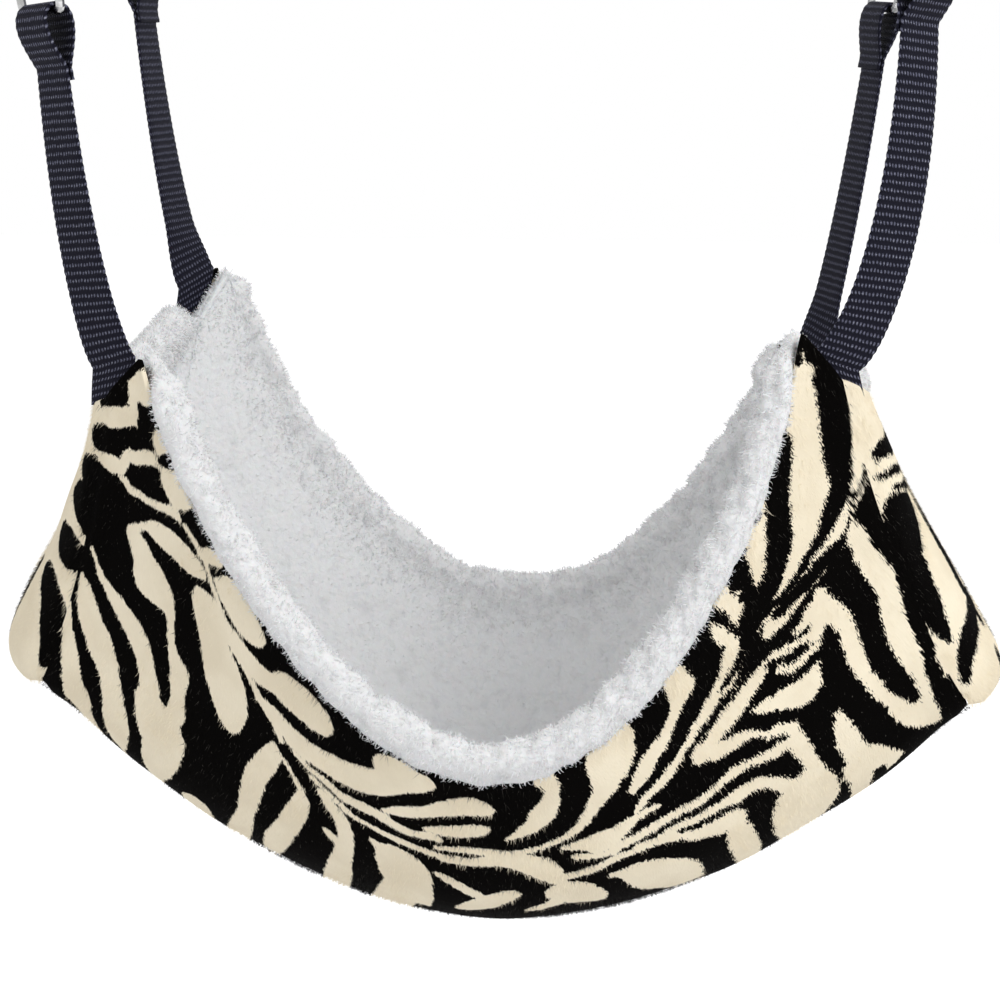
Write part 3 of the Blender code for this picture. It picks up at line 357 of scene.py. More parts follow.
def placed(name: str, data: bpy.types.ID) -> bpy.types.Object:
    """A new object in the scene that shows the data."""
    made = bpy.data.objects.new(name, data)
    bpy.context.scene.collection.objects.link(made)
    return made


def finished_mesh(name: str, shell: bmesh.types.BMesh) -> bpy.types.Mesh:
    """The shell as a mesh of its own."""
    mesh = bpy.data.meshes.new(name)
    shell.to_mesh(mesh)
    shell.free()
    return mesh


def carry(mesh: bpy.types.Mesh, label: str, numbers: np.ndarray) -> None:
    """Give the mesh a number at each vertex, which its material reads."""
    layer = mesh.attributes.new(label, "FLOAT", "POINT")
    layer.data.foreach_set("value", numbers.astype(np.float32))


def from_rim_to_rim(panel: Panel, rim: np.ndarray, wall: np.ndarray, far_rim: np.ndarray) -> np.ndarray:
    """Values from the rim over the wall and, on the long panel, on to the far rim, listed from its edge in."""
    return np.concatenate((rim, wall) if panel.side else (rim, wall, far_rim[::-1]))


def shaped_grid(name: str, places: np.ndarray, outward: np.ndarray, uv: np.ndarray | None = None,
                values: dict[str, np.ndarray] | None = None) -> bpy.types.Object:
    """A grid moved to the given places.

    Args:
        name: The piece's name.
        places: Places by row and column.
        outward: Direction that the front faces at each place.
        uv: Place of each vertex in the piece's own map, in metres.
        values: Named numbers for each vertex, which its material reads.

    Returns:
        The piece, not yet dressed.
    """
    rows, columns = places.shape[:2]
    sampled = 97
    shell = bmesh.new()
    bmesh.ops.create_grid(shell, x_segments=columns - 1, y_segments=rows - 1, size=0.5)
    spots = np.array([vertex.co[:2] for vertex in shell.verts])
    across = np.rint((spots[:, 0] + 0.5) * (columns - 1)).astype(int)
    up = np.rint((spots[:, 1] + 0.5) * (rows - 1)).astype(int)
    for vertex, place in zip(shell.verts, places[up, across]):
        vertex.co = place
    shell.normal_update()
    shell.faces.ensure_lookup_table()
    facing = sum(face.normal.dot(Vector(outward[up[face.verts[0].index], across[face.verts[0].index]]))
                 for face in list(shell.faces)[::sampled])
    if facing < 0:
        bmesh.ops.reverse_faces(shell, faces=shell.faces)
    for face in shell.faces:
        face.smooth = True
    mesh = finished_mesh(name, shell)
    for label, numbers in (values or {}).items():
        carry(mesh, label, numbers[up, across])
    if uv is not None:
        corners = np.zeros(len(mesh.loops), dtype=np.int32)
        mesh.loops.foreach_get("vertex_index", corners)
        layer = mesh.uv_layers.new(name="cloth")
        layer.data.foreach_set("uv", uv[up, across][corners].astype(np.float32).ravel())
    return placed(name, mesh)


class NodeMaker:
    """Builds the nodes of one tree from plain calls."""

    def __init__(self, tree: bpy.types.NodeTree) -> None:
        self.tree = tree

    def node(self, kind: str, **settings: object) -> bpy.types.Node:
        """A new node with its settings."""
        made = self.tree.nodes.new(kind)
        for label, value in settings.items():
            setattr(made, label, value)
        return made

    def link(self, source: bpy.types.NodeSocket, target: bpy.types.NodeSocket) -> None:
        """Join two sockets."""
        self.tree.links.new(source, target)

    def fill(self, socket: bpy.types.NodeSocket, value: object) -> None:
        """Set a socket to a number, or join it to another socket."""
        if isinstance(value, bpy.types.NodeSocket):
            self.link(value, socket)
        else:
            socket.default_value = value

    def math(self, operation: str, *values: object, clamp: bool = False) -> bpy.types.NodeSocket:
        """Result of a sum on sockets or numbers."""
        made = self.node("ShaderNodeMath", operation=operation, use_clamp=clamp)
        for socket, value in zip(made.inputs, values):
            self.fill(socket, value)
        return made.outputs[0]

    def spread(self, value: object, low: float, high: float, first: float = 0.0,
               last: float = 1.0, way: str = "SMOOTHSTEP") -> bpy.types.NodeSocket:
        """Change from one number to another between two limits, smooth unless told otherwise."""
        made = self.node("ShaderNodeMapRange", interpolation_type=way)
        for socket, number in zip(made.inputs, (value, low, high, first, last)):
            self.fill(socket, number)
        return made.outputs[0]

    def colour_mix(self, share: object, first: object, second: object,
                   way: str = "MIX") -> bpy.types.NodeSocket:
        """Mix of two colours."""
        made = self.node("ShaderNodeMix", data_type="RGBA", blend_type=way)
        for number, value in ((0, share), (6, first), (7, second)):
            self.fill(made.inputs[number], value)
        return made.outputs[2]

    def mapped(self, source: str, scale: tuple[float, float, float] = (1.0, 1.0, 1.0)) -> bpy.types.NodeSocket:
        """Object coordinates or the piece's own map, stretched."""
        texture = self.node("ShaderNodeTexCoord")
        mapping = self.node("ShaderNodeMapping")
        self.link(texture.outputs[source], mapping.inputs[0])
        mapping.inputs[3].default_value = scale
        return mapping.outputs[0]

    def noise(self, where: bpy.types.NodeSocket, scale: object, detail: float = 2.0) -> bpy.types.NodeSocket:
        """Height of a noise texture."""
        made = self.node("ShaderNodeTexNoise")
        for label, value in (("Vector", where), ("Scale", scale), ("Detail", detail)):
            self.fill(made.inputs[label], value)
        return made.outputs["Fac"]

    def cells(self, where: bpy.types.NodeSocket, scale: float) -> bpy.types.NodeSocket:
        """Distance in a cell texture."""
        made = self.node("ShaderNodeTexVoronoi")
        self.fill(made.inputs["Vector"], where)
        self.fill(made.inputs["Scale"], scale)
        return made.outputs["Distance"]

    def attribute(self, label: str) -> bpy.types.NodeSocket:
        """Number that the mesh carries at each vertex."""
        return self.node("ShaderNodeAttribute", attribute_name=label).outputs["Fac"]

    def bump(self, height: bpy.types.NodeSocket, strength: float, distance: float,
             before: bpy.types.NodeSocket | None = None) -> bpy.types.NodeSocket:
        """Normal bent by a height."""
        made = self.node("ShaderNodeBump")
        for label, value in (("Strength", strength), ("Distance", distance), ("Height", height)):
            self.fill(made.inputs[label], value)
        if before is not None:
            self.link(before, made.inputs["Normal"])
        return made.outputs[0]

    def mirrored_rays(self) -> bpy.types.NodeSocket:
        """1 for what the camera sees straight, in a reflection or through a piece, else 0."""
        rays = self.node("ShaderNodeLightPath").outputs
        through = self.math("MAXIMUM", rays["Is Glossy Ray"], rays["Is Transmission Ray"])
        return self.math("MAXIMUM", rays["Is Camera Ray"], through)


class MaterialMaker(NodeMaker):
    """Builds one material round its shader."""

    def __init__(self, name: str) -> None:
        self.material = bpy.data.materials.new(name)
        self.material.use_nodes = True
        super().__init__(self.material.node_tree)
        self.shader = next(node for node in self.tree.nodes if node.type == "BSDF_PRINCIPLED")

    def set(self, **values: object) -> None:
        """Set or join the shader's own sockets, named with underscores."""
        for label, value in values.items():
            self.fill(self.shader.inputs[label.replace("_", " ")], value)

    def group(self, tree: bpy.types.NodeTree, **values: object) -> bpy.types.Node:
        """A shared effect with this material's own values."""
        made = self.node("ShaderNodeGroup", node_tree=tree)
        for label, value in values.items():
            self.fill(made.inputs[label.replace("_", " ")], value)
        return made


@dataclass(frozen=True)
class PlushFinish:
    """Short printed plush: cream ground, black stripes with hairy edges."""

    cream: tuple[float, float, float, float] = (0.96, 0.87, 0.685, 1.0)
    cream_shade: tuple[float, float, float, float] = (0.86, 0.765, 0.585, 1.0)
    black: tuple[float, float, float, float] = (0.0022, 0.0019, 0.0017, 1.0)
    fleck: tuple[float, float, float, float] = (0.075, 0.070, 0.062, 1.0)
    roughness: float = 0.92
    edge_fuzz: float = 0.0011
    edge_soft: float = 0.00022

    def make(self) -> bpy.types.Material:
        """The plush material, which reads the stripe value of the mesh."""
        maker = MaterialMaker("zebra_plush_cloth")
        place = maker.mapped("Object")
        hair_place = maker.mapped("UV", (1.0, 0.22, 1.0))
        stripe = maker.attribute("stripe")
        hair = maker.noise(hair_place, 1500.0, 2.0)
        broad = maker.noise(place, 160.0, 2.0)
        fine, wide = (maker.math("MULTIPLY", maker.math("SUBTRACT", height, 0.5), gain * self.edge_fuzz)
                      for height, gain in ((hair, 3.6), (broad, 1.4)))
        parts = maker.node("ShaderNodeSeparateXYZ")
        maker.link(place, parts.inputs[0])
        ragged = maker.spread(parts.outputs[0], 0.0, 0.14, 1.0, 2.0)
        edge = maker.math("ADD", stripe, maker.math("MULTIPLY", maker.math("ADD", fine, wide), ragged))
        black_share = maker.spread(edge, -self.edge_soft, self.edge_soft)
        patch = maker.noise(place, 35.0, 3.0)
        cream = maker.colour_mix(maker.spread(patch, 0.35, 0.7), self.cream, self.cream_shade)
        thread = maker.colour_mix(maker.spread(hair, 0.30, 0.75, 0.0, 0.35), cream, self.cream_shade)
        specks = maker.noise(maker.mapped("UV", (1.0, 0.6, 1.0)), 900.0, 1.0)
        flecked = maker.colour_mix(maker.spread(specks, 0.70, 0.80), self.black, self.fleck)
        maker.set(Base_Color=maker.colour_mix(black_share, thread, flecked), Roughness=self.roughness,
                  Sheen_Weight=0.0, Specular_IOR_Level=0.02)
        nap = maker.bump(hair, 0.5, 0.0006)
        maker.set(Normal=maker.bump(broad, 0.25, 0.0009, nap))
        return maker.material

    def make_nap(self) -> bpy.types.Material:
        """The material of loose hairs, one flat shade for each."""
        maker = MaterialMaker("zebra_plush_nap")
        shade = maker.attribute("shade")
        cream = maker.colour_mix(shade, self.cream, self.cream_shade)
        black = maker.colour_mix(maker.spread(shade, 0.85, 1.0, 0.0, 0.6), self.black, self.fleck)
        black_share = maker.spread(maker.attribute("stripe"), -self.edge_soft, self.edge_soft)
        maker.set(Base_Color=maker.colour_mix(black_share, cream, black), Roughness=self.roughness,
                  Specular_IOR_Level=0.05)
        return maker.material


@dataclass(frozen=True)
class FleeceFinish:
    """White curly fleece: soft tufts, painted shade that darkens the creases between them, and a fine fuzz."""

    white: tuple[float, float, float, float] = (0.86, 0.86, 0.865, 1.0)
    # Grey of the painted shade in the creases between tufts.
    crease_painted_shade: tuple[float, float, float, float] = (0.77, 0.77, 0.78, 1.0)
    roughness: float = 0.97

    def make(self) -> bpy.types.Material:
        """The fleece material, which reads the tuft heights of the mesh to paint shade into the creases."""
        maker = MaterialMaker("sherpa_fleece_cloth")
        place = maker.mapped("Object")
        tuft = maker.attribute("tuft")
        curl = maker.cells(place, 340.0)
        fuzz = maker.noise(place, 1200.0, 3.0)
        soft = maker.noise(place, 210.0, 3.0)
        # Painted shade: white on the tuft tops, grey in the creases; a soft noise also varies the tone at random.
        shade = maker.math("ADD", maker.math("MULTIPLY", tuft, 0.6), maker.math("MULTIPLY", soft, 0.6))
        maker.set(Base_Color=maker.colour_mix(maker.spread(shade, 0.25, 0.75), self.crease_painted_shade, self.white),
                  Roughness=self.roughness, Sheen_Weight=0.15, Sheen_Roughness=0.6, Specular_IOR_Level=0.1,
                  Subsurface_Weight=0.08, Subsurface_Scale=0.006)
        first = maker.bump(curl, 0.35, -0.0016)
        second = maker.bump(soft, 0.5, 0.0022, first)
        maker.set(Normal=maker.bump(fuzz, 0.45, 0.0008, second))
        return maker.material


@dataclass(frozen=True)
class WebbingFinish:
    """Dark navy woven webbing with ribs across it, whose crests are painted lighter as a highlight, and light flecks
    on the crests that are part lint and part painted glint.
    """

    navy: tuple[float, float, float, float] = (0.0048, 0.0048, 0.0115, 1.0)
    # Lighter colour painted on the weave crests as a highlight.
    light: tuple[float, float, float, float] = (0.165, 0.17, 0.245, 1.0)
    # Colour of the light flecks on the crests, part lint and part painted glint.
    lint: tuple[float, float, float, float] = (0.42, 0.43, 0.48, 1.0)
    rib_pitch: float = 0.0034
    yarn_pitch: float = 0.0018
    roughness: float = 0.75
    # How much painted crest highlight and flecks the front straps and the rear straps get.
    worn_by_end: tuple[tuple[int, float], ...] = ((-1, 0.55), (1, 0.12))

    def make(self, worn: float) -> bpy.types.Material:
        """The webbing material for straps with more or less painted highlight and flecks of lint and painted glint on
        the weave crests.
        """
        maker = MaterialMaker(f"navy_webbing_highlight_and_lint_{int(worn * 100)}")
        cloth = maker.mapped("UV")
        parts = maker.node("ShaderNodeSeparateXYZ")
        maker.link(cloth, parts.inputs[0])
        uneven = maker.noise(cloth, 260.0, 2.0)
        row = maker.math("ADD", maker.math("DIVIDE", parts.outputs[1], self.rib_pitch),
                         maker.math("MULTIPLY", uneven, 0.35))
        within = maker.math("FRACT", row)
        slant = maker.math("MULTIPLY", within, 0.55)
        yarn = maker.math("ADD", maker.math("DIVIDE", parts.outputs[0], self.yarn_pitch),
                          maker.math("ADD", slant, maker.math("MULTIPLY", uneven, 0.5)))
        rib = maker.math("ABSOLUTE", maker.math("SINE", maker.math("MULTIPLY", row, math.pi)))
        strand = maker.math("ABSOLUTE", maker.math("SINE", maker.math("MULTIPLY", yarn, math.pi)))
        weave = maker.math("MULTIPLY", maker.math("POWER", rib, 1.2),
                           maker.math("ADD", maker.math("MULTIPLY", strand, 0.75), 0.25))
        grain = maker.noise(cloth, 1400.0, 3.0)
        # Painted highlight: the weave crests are coloured lighter, and flecks of lint and painted glint sit on them.
        bright = maker.math("MULTIPLY", weave, maker.math("ADD", grain, 0.5))
        body = maker.colour_mix(maker.spread(bright, 0.50, 1.05, 0.0, 0.45 + 0.55 * worn), self.navy, self.light)
        lint_and_glint_share = maker.spread(maker.math("MULTIPLY", grain, weave), 0.50, 0.60, 0.0, worn)
        maker.set(Base_Color=maker.colour_mix(lint_and_glint_share, body, self.lint), Roughness=self.roughness,
                  Specular_IOR_Level=0.12)
        height = maker.math("ADD", weave, maker.math("MULTIPLY", grain, 0.3))
        maker.set(Normal=maker.bump(height, 0.6, 0.0007))
        return maker.material


def edge_wear_group() -> bpy.types.NodeTree:
    """Shared effect: rubbed spots on plated metal, as a colour and a roughness."""
    tree = bpy.data.node_groups.new("plating_wear", "ShaderNodeTree")
    for label, way, kind in (("Scale", "INPUT", "Float"), ("Clean", "INPUT", "Color"), ("Rubbed", "INPUT", "Color"),
                             ("Smooth", "INPUT", "Float"), ("Coarse", "INPUT", "Float"),
                             ("Colour", "OUTPUT", "Color"), ("Roughness", "OUTPUT", "Float")):
        tree.interface.new_socket(label, in_out=way, socket_type=f"NodeSocket{kind}")
    maker = NodeMaker(tree)
    inlet = maker.node("NodeGroupInput").outputs
    outlet = maker.node("NodeGroupOutput").inputs
    place = maker.node("ShaderNodeTexCoord").outputs["Object"]
    spots = maker.spread(maker.noise(place, inlet["Scale"], 4.0), 0.48, 0.68, way="LINEAR")
    rough = maker.node("ShaderNodeMix")
    for number, value in ((0, spots), (2, inlet["Smooth"]), (3, inlet["Coarse"])):
        maker.link(value, rough.inputs[number])
    maker.link(maker.colour_mix(spots, inlet["Clean"], inlet["Rubbed"]), outlet["Colour"])
    maker.link(rough.outputs[0], outlet["Roughness"])
    return tree


@dataclass(frozen=True)
class MetalFinish:
    """Plated or bare metal with its wear and a painted dark reflection band."""

    name: str
    clean: tuple[float, float, float, float]
    rubbed: tuple[float, float, float, float]
    smooth: float
    coarse: float
    scale: float
    # Colour of the painted dark reflection band.
    reflected: tuple[float, float, float, float] = (0.13, 0.13, 0.14, 1.0)

    def make(self, wear: bpy.types.NodeTree) -> bpy.types.Material:
        """The metal material."""
        maker = MaterialMaker(self.name)
        worn = maker.group(wear, Scale=self.scale, Clean=self.clean, Rubbed=self.rubbed,
                           Smooth=self.smooth, Coarse=self.coarse)
        # Painted reflection: a dark band at middling angles to the view, as chrome shows its surroundings.
        facing = maker.node("ShaderNodeLayerWeight").outputs["Facing"]
        band = maker.spread(maker.math("ABSOLUTE", maker.math("SUBTRACT", facing, 0.42)), 0.04, 0.22)
        shaded = maker.colour_mix(band, self.reflected, worn.outputs["Colour"])
        maker.set(Base_Color=shaded, Roughness=worn.outputs["Roughness"], Metallic=1.0)
        place = maker.mapped("Object")
        maker.set(Normal=maker.bump(maker.noise(place, 900.0, 2.0), 0.06, 0.0003))
        return maker.material


# A stroke is 1 for black or -1 for cream and its points: share along the panel, share down it, and the
# half width in millimetres. END_STROKES lie on both end panels, the others on one panel each.
END_STROKES: Strokes = (
    (1, ((0.3, 0.02, 3.0), (0.34, 0.12, 6.0), (0.32, 0.25, 8.5), (0.36, 0.38, 6.5), (0.35, 0.5, 3.0))),
    (1, ((0.46, -0.02, 5.0), (0.47, 0.1, 8.0), (0.44, 0.22, 9.5), (0.46, 0.36, 7.0), (0.43, 0.5, 8.5),
        (0.45, 0.66, 3.0))),
    (1, ((0.6, 0.03, 3.0), (0.58, 0.15, 7.0), (0.61, 0.28, 9.5), (0.57, 0.42, 8.0), (0.6, 0.55, 9.0),
        (0.57, 0.7, 6.0), (0.59, 0.84, 2.0))),
    (1, ((0.74, -0.02, 6.0), (0.71, 0.12, 8.0), (0.75, 0.24, 7.0), (0.72, 0.38, 9.5), (0.75, 0.5, 6.0),
        (0.71, 0.64, 3.0))),
    (1, ((0.88, 0.02, 5.0), (0.86, 0.16, 8.5), (0.9, 0.3, 7.0), (0.86, 0.44, 8.5), (0.89, 0.58, 7.0),
        (0.85, 0.74, 3.5))),
    (1, ((0.24, 0.58, 3.0), (0.3, 0.68, 7.5), (0.35, 0.79, 9.0), (0.33, 0.9, 7.0), (0.37, 1.02, 5.0))),
    (1, ((0.46, 0.78, 3.0), (0.5, 0.86, 8.0), (0.48, 0.95, 8.5), (0.52, 1.02, 6.0))),
    (1, ((0.7, 0.74, 3.5), (0.67, 0.84, 8.0), (0.71, 0.93, 9.0), (0.69, 1.02, 6.0))),
    (1, ((0.87, 0.84, 3.0), (0.83, 0.92, 7.0), (0.86, 1.02, 8.0))),
    (1, ((0.59, 0.3, 4.5), (0.65, 0.37, 5.0), (0.69, 0.35, 3.0))),
    (1, ((0.45, 0.24, 4.5), (0.39, 0.19, 4.0), (0.37, 0.15, 2.0))),
    (1, ((0.59, 0.56, 5.0), (0.53, 0.62, 4.5), (0.48, 0.58, 2.5))),
    (1, ((0.87, 0.46, 4.5), (0.81, 0.53, 5.0), (0.79, 0.6, 2.0))),
    (-1, ((0.455, 0.14, 0.6), (0.447, 0.21, 2.6), (0.455, 0.3, 0.8))),
    (-1, ((0.6, 0.46, 0.6), (0.595, 0.54, 2.4), (0.585, 0.61, 0.8))),
    (-1, ((0.735, 0.29, 0.6), (0.722, 0.37, 2.8), (0.735, 0.45, 0.8))),
    (-1, ((0.345, 0.74, 0.6), (0.343, 0.81, 2.4), (0.336, 0.88, 0.8))),
)
LONG_STROKES: Strokes = (
    (-1, ((-1.082, 0.051, 3.9), (-1.053, 0.091, 4.8), (-1.023, 0.122, 4.5), (-1.0, 0.153, 2.2))),
    (-1, ((-1.089, 0.173, 2.2), (-1.062, 0.21, 3.2), (-1.038, 0.24, 4.4), (-1.019, 0.264, 3.3))),
    (-1, ((-1.003, 0.01, 3.6), (-0.998, 0.054, 5.0), (-1.002, 0.103, 2.4), (-0.995, 0.127, 1.7))),
    (-1, ((-1.014, 0.117, 2.8), (-1.001, 0.139, 1.8), (-0.991, 0.134, 1.0))),
    (-1, ((-1.011, 0.259, 2.6), (-0.989, 0.212, 3.1), (-0.959, 0.118, 3.4), (-0.939, 0.075, 2.5))),
    (-1, ((-0.949, 0.019, 2.1), (-0.944, 0.027, 4.2), (-0.934, 0.022, 4.1))),
    (-1, ((-0.919, 0.039, 4.7), (-0.904, 0.027, 8.1), (-0.889, 0.017, 8.5), (-0.875, -0.004, 4.4))),
    (-1, ((-1.014, 0.292, 1.0), (-0.995, 0.307, 1.9), (-0.97, 0.256, 1.8), (-0.944, 0.204, 1.8), (-0.916, 0.145, 2.0),
        (-0.894, 0.099, 2.5), (-0.881, 0.091, 1.3))),
    (-1, ((-0.872, 0.077, 1.0), (-0.859, 0.074, 1.3), (-0.84, 0.07, 1.6), (-0.829, 0.071, 1.0))),
    (-1, ((-0.829, 0.077, 2.1), (-0.811, 0.039, 4.0), (-0.788, 0.007, 3.0))),
    (-1, ((-0.97, 0.365, 3.9), (-0.951, 0.36, 5.6), (-0.937, 0.366, 6.5), (-0.921, 0.377, 9.1), (-0.898, 0.368, 7.1),
        (-0.876, 0.368, 3.8), (-0.864, 0.393, 2.1), (-0.856, 0.44, 2.1), (-0.841, 0.475, 3.1), (-0.824, 0.494, 5.1),
        (-0.82, 0.534, 4.8), (-0.814, 0.581, 3.9), (-0.811, 0.639, 5.5))),
    (-1, ((-0.969, 0.354, 2.6), (-0.951, 0.293, 1.9), (-0.928, 0.243, 4.2), (-0.901, 0.203, 5.7), (-0.872, 0.17, 5.7),
        (-0.842, 0.144, 5.1), (-0.815, 0.123, 1.9))),
    (-1, ((-0.822, 0.191, 2.6), (-0.804, 0.202, 6.3), (-0.781, 0.228, 7.5), (-0.756, 0.272, 8.6),
        (-0.729, 0.32, 10.4), (-0.705, 0.375, 9.8), (-0.693, 0.431, 6.9), (-0.688, 0.468, 2.8))),
    (-1, ((-1.057, 0.487, 1.0), (-1.033, 0.538, 1.2), (-1.004, 0.583, 2.1), (-0.972, 0.573, 4.1),
        (-0.938, 0.567, 5.4), (-0.914, 0.58, 5.3), (-0.894, 0.609, 4.9), (-0.878, 0.648, 5.4), (-0.868, 0.705, 7.8),
        (-0.836, 0.743, 12.7), (-0.819, 0.796, 11.4), (-0.817, 0.909, 9.4), (-0.814, 1.11, 3.7),
        (-0.807, 1.52, 3.7))),
    (-1, ((-1.069, 0.575, 1.2), (-1.054, 0.613, 4.1), (-1.039, 0.652, 5.9), (-1.015, 0.701, 6.6),
        (-0.989, 0.732, 7.5), (-0.97, 0.752, 7.0), (-0.952, 0.789, 6.2), (-0.936, 0.841, 6.6), (-0.919, 0.911, 8.0),
        (-0.903, 1.007, 5.7), (-0.886, 1.12, 1.1), (-0.825, 1.52, 2.5))),
    (-1, ((-1.085, 0.677, 1.1), (-1.077, 0.724, 2.9), (-1.058, 0.786, 4.1), (-1.04, 0.843, 4.9), (-1.022, 0.911, 5.3),
        (-0.998, 0.981, 7.3), (-0.982, 1.042, 5.7), (-0.889, 1.52, 5.7))),
    (-1, ((-0.741, 1.1, 2.8), (-0.722, 1.008, 7.6), (-0.714, 1.12, 8.5), (-0.686, 1.52, 8.5))),
    (-1, ((-0.586, 0.363, 2.0), (-0.589, 0.423, 5.5), (-0.61, 0.541, 6.1), (-0.613, 0.653, 5.5), (-0.614, 0.796, 4.7),
        (-0.619, 0.954, 6.0), (-0.638, 1.52, 6.0))),
    (-1, ((-0.56, 0.379, 1.0), (-0.534, 0.41, 1.0), (-0.509, 0.443, 1.5))),
    (-1, ((-0.502, 0.452, 2.0), (-0.501, 0.533, 5.2), (-0.516, 0.662, 5.8), (-0.536, 0.833, 6.0),
        (-0.545, 1.027, 4.0))),
    (-1, ((-0.459, 0.389, 1.9), (-0.429, 0.418, 2.8), (-0.393, 0.455, 3.7), (-0.376, 0.537, 4.3), (-0.379, 0.67, 5.0),
        (-0.384, 0.848, 6.6), (-0.404, 1.52, 6.6))),
    (-1, ((-0.432, 0.549, 1.1), (-0.416, 0.556, 2.2), (-0.394, 0.575, 2.3))),
    (-1, ((-0.317, 0.453, 1.0), (-0.292, 0.473, 2.7), (-0.259, 0.501, 7.7), (-0.225, 0.579, 12.3),
        (-0.211, 0.684, 11.4), (-0.223, 0.835, 12.8), (-0.277, 1.52, 12.8))),
    (1, ((-0.172, 0.914, 4.7), (-0.188, 1.06, 3.8))),
    (-1, ((-0.78, 0.068, 3.1), (-0.753, 0.043, 7.0), (-0.728, 0.047, 7.6), (-0.699, 0.055, 6.9),
        (-0.674, 0.057, 5.0))),
    (-1, ((-0.797, 0.156, 1.6), (-0.778, 0.152, 2.2), (-0.749, 0.161, 3.2), (-0.712, 0.166, 4.4),
        (-0.679, 0.169, 5.0), (-0.646, 0.162, 5.0), (-0.621, 0.145, 4.9))),
    (-1, ((-0.613, 0.121, 3.7), (-0.589, 0.112, 7.5), (-0.553, 0.104, 8.1), (-0.514, 0.101, 7.5),
        (-0.485, 0.106, 5.6), (-0.472, 0.1, 3.1))),
    (-1, ((-0.819, 0.071, 1.0), (-0.789, 0.112, 1.3), (-0.761, 0.135, 1.3), (-0.73, 0.161, 1.3), (-0.704, 0.189, 1.3),
        (-0.673, 0.212, 1.2), (-0.635, 0.248, 1.6), (-0.594, 0.286, 1.5), (-0.571, 0.315, 1.5))),
    (-1, ((-0.645, 0.253, 1.3), (-0.608, 0.243, 2.8), (-0.57, 0.255, 4.1), (-0.528, 0.267, 5.4), (-0.48, 0.254, 5.6),
        (-0.426, 0.235, 6.5), (-0.374, 0.205, 7.3), (-0.317, 0.157, 7.0), (-0.264, 0.102, 5.8))),
    (-1, ((-0.319, 0.058, 4.3), (-0.281, 0.067, 8.0), (-0.232, 0.062, 6.7), (-0.192, 0.046, 4.2),
        (-0.181, 0.043, 2.4))),
    (-1, ((-0.538, 0.316, 1.0), (-0.492, 0.331, 1.3), (-0.452, 0.33, 1.6), (-0.405, 0.341, 2.2), (-0.352, 0.322, 2.5),
        (-0.299, 0.31, 2.5), (-0.243, 0.327, 2.2), (-0.21, 0.328, 1.9), (-0.167, 0.315, 2.5), (-0.137, 0.33, 1.0))),
    (-1, ((-0.492, 0.359, 1.0), (-0.428, 0.377, 1.3), (-0.373, 0.393, 1.3), (-0.311, 0.387, 1.3),
        (-0.244, 0.393, 1.6), (-0.185, 0.403, 1.6), (-0.137, 0.414, 1.6), (-0.057, 0.407, 1.3))),
    (-1, ((-0.151, 0.372, 1.2), (-0.071, 0.354, 1.9), (0.024, 0.364, 2.5))),
    (-1, ((-0.131, 0.429, 1.3), (-0.043, 0.416, 2.6), (0.037, 0.399, 4.5), (0.103, 0.441, 6.5), (0.147, 0.51, 6.6),
        (0.175, 0.583, 3.4))),
    (-1, ((-0.296, 0.275, 1.0), (-0.254, 0.24, 3.0), (-0.187, 0.192, 3.5), (-0.119, 0.135, 5.0), (-0.061, 0.114, 5.7),
        (-0.017, 0.123, 3.9), (0.0, 0.127, 1.5))),
    (-1, ((-0.185, 0.282, 1.0), (-0.142, 0.272, 2.8), (-0.087, 0.259, 3.7), (-0.037, 0.24, 3.3),
        (-0.012, 0.226, 1.5))),
    (-1, ((0.163, 0.0, 4.6), (0.185, 0.046, 3.2), (0.178, 0.104, 3.8), (0.153, 0.165, 5.6), (0.125, 0.216, 4.3),
        (0.087, 0.252, 2.9), (0.047, 0.283, 1.2))),
    (-1, ((0.38, 0.0, 8.0), (0.374, 0.019, 10.4), (0.359, 0.078, 10.6), (0.342, 0.145, 7.0), (0.314, 0.201, 4.4),
        (0.28, 0.254, 3.2), (0.247, 0.3, 2.5), (0.203, 0.332, 1.8), (0.147, 0.35, 1.5), (0.092, 0.363, 1.8),
        (0.024, 0.37, 1.9))),
    (-1, ((0.563, -0.003, 4.7), (0.582, 0.058, 7.1), (0.571, 0.095, 4.6), (0.553, 0.124, 2.6), (0.535, 0.148, 2.7),
        (0.508, 0.177, 3.3), (0.466, 0.197, 3.8), (0.434, 0.229, 3.8), (0.405, 0.264, 2.4), (0.398, 0.274, 1.3))),
    (-1, ((0.191, 0.389, 1.2), (0.239, 0.399, 3.0), (0.291, 0.425, 6.2), (0.341, 0.415, 4.1), (0.382, 0.397, 2.3),
        (0.426, 0.399, 1.5), (0.454, 0.415, 1.0))),
    (-1, ((0.222, 0.454, 1.6), (0.286, 0.488, 2.0), (0.339, 0.487, 2.6), (0.392, 0.486, 2.5), (0.446, 0.488, 2.4),
        (0.497, 0.501, 2.1), (0.548, 0.523, 2.1), (0.596, 0.524, 2.0), (0.642, 0.525, 2.3), (0.677, 0.547, 2.2),
        (0.711, 0.576, 2.8), (0.74, 0.596, 2.8), (0.768, 0.595, 3.8), (0.782, 0.581, 3.7))),
    (-1, ((0.163, 0.568, 2.4), (0.228, 0.562, 2.3), (0.28, 0.552, 2.2), (0.333, 0.542, 2.1), (0.385, 0.552, 2.1),
        (0.436, 0.558, 2.0), (0.488, 0.562, 2.3), (0.536, 0.593, 2.9), (0.585, 0.611, 3.5), (0.622, 0.62, 3.8),
        (0.654, 0.628, 3.7), (0.691, 0.662, 3.5), (0.726, 0.742, 3.9), (0.746, 0.823, 6.8))),
    (-1, ((0.386, 0.541, 2.0), (0.435, 0.568, 2.7), (0.483, 0.6, 3.4), (0.526, 0.656, 4.6), (0.567, 0.687, 5.8),
        (0.603, 0.714, 6.6))),
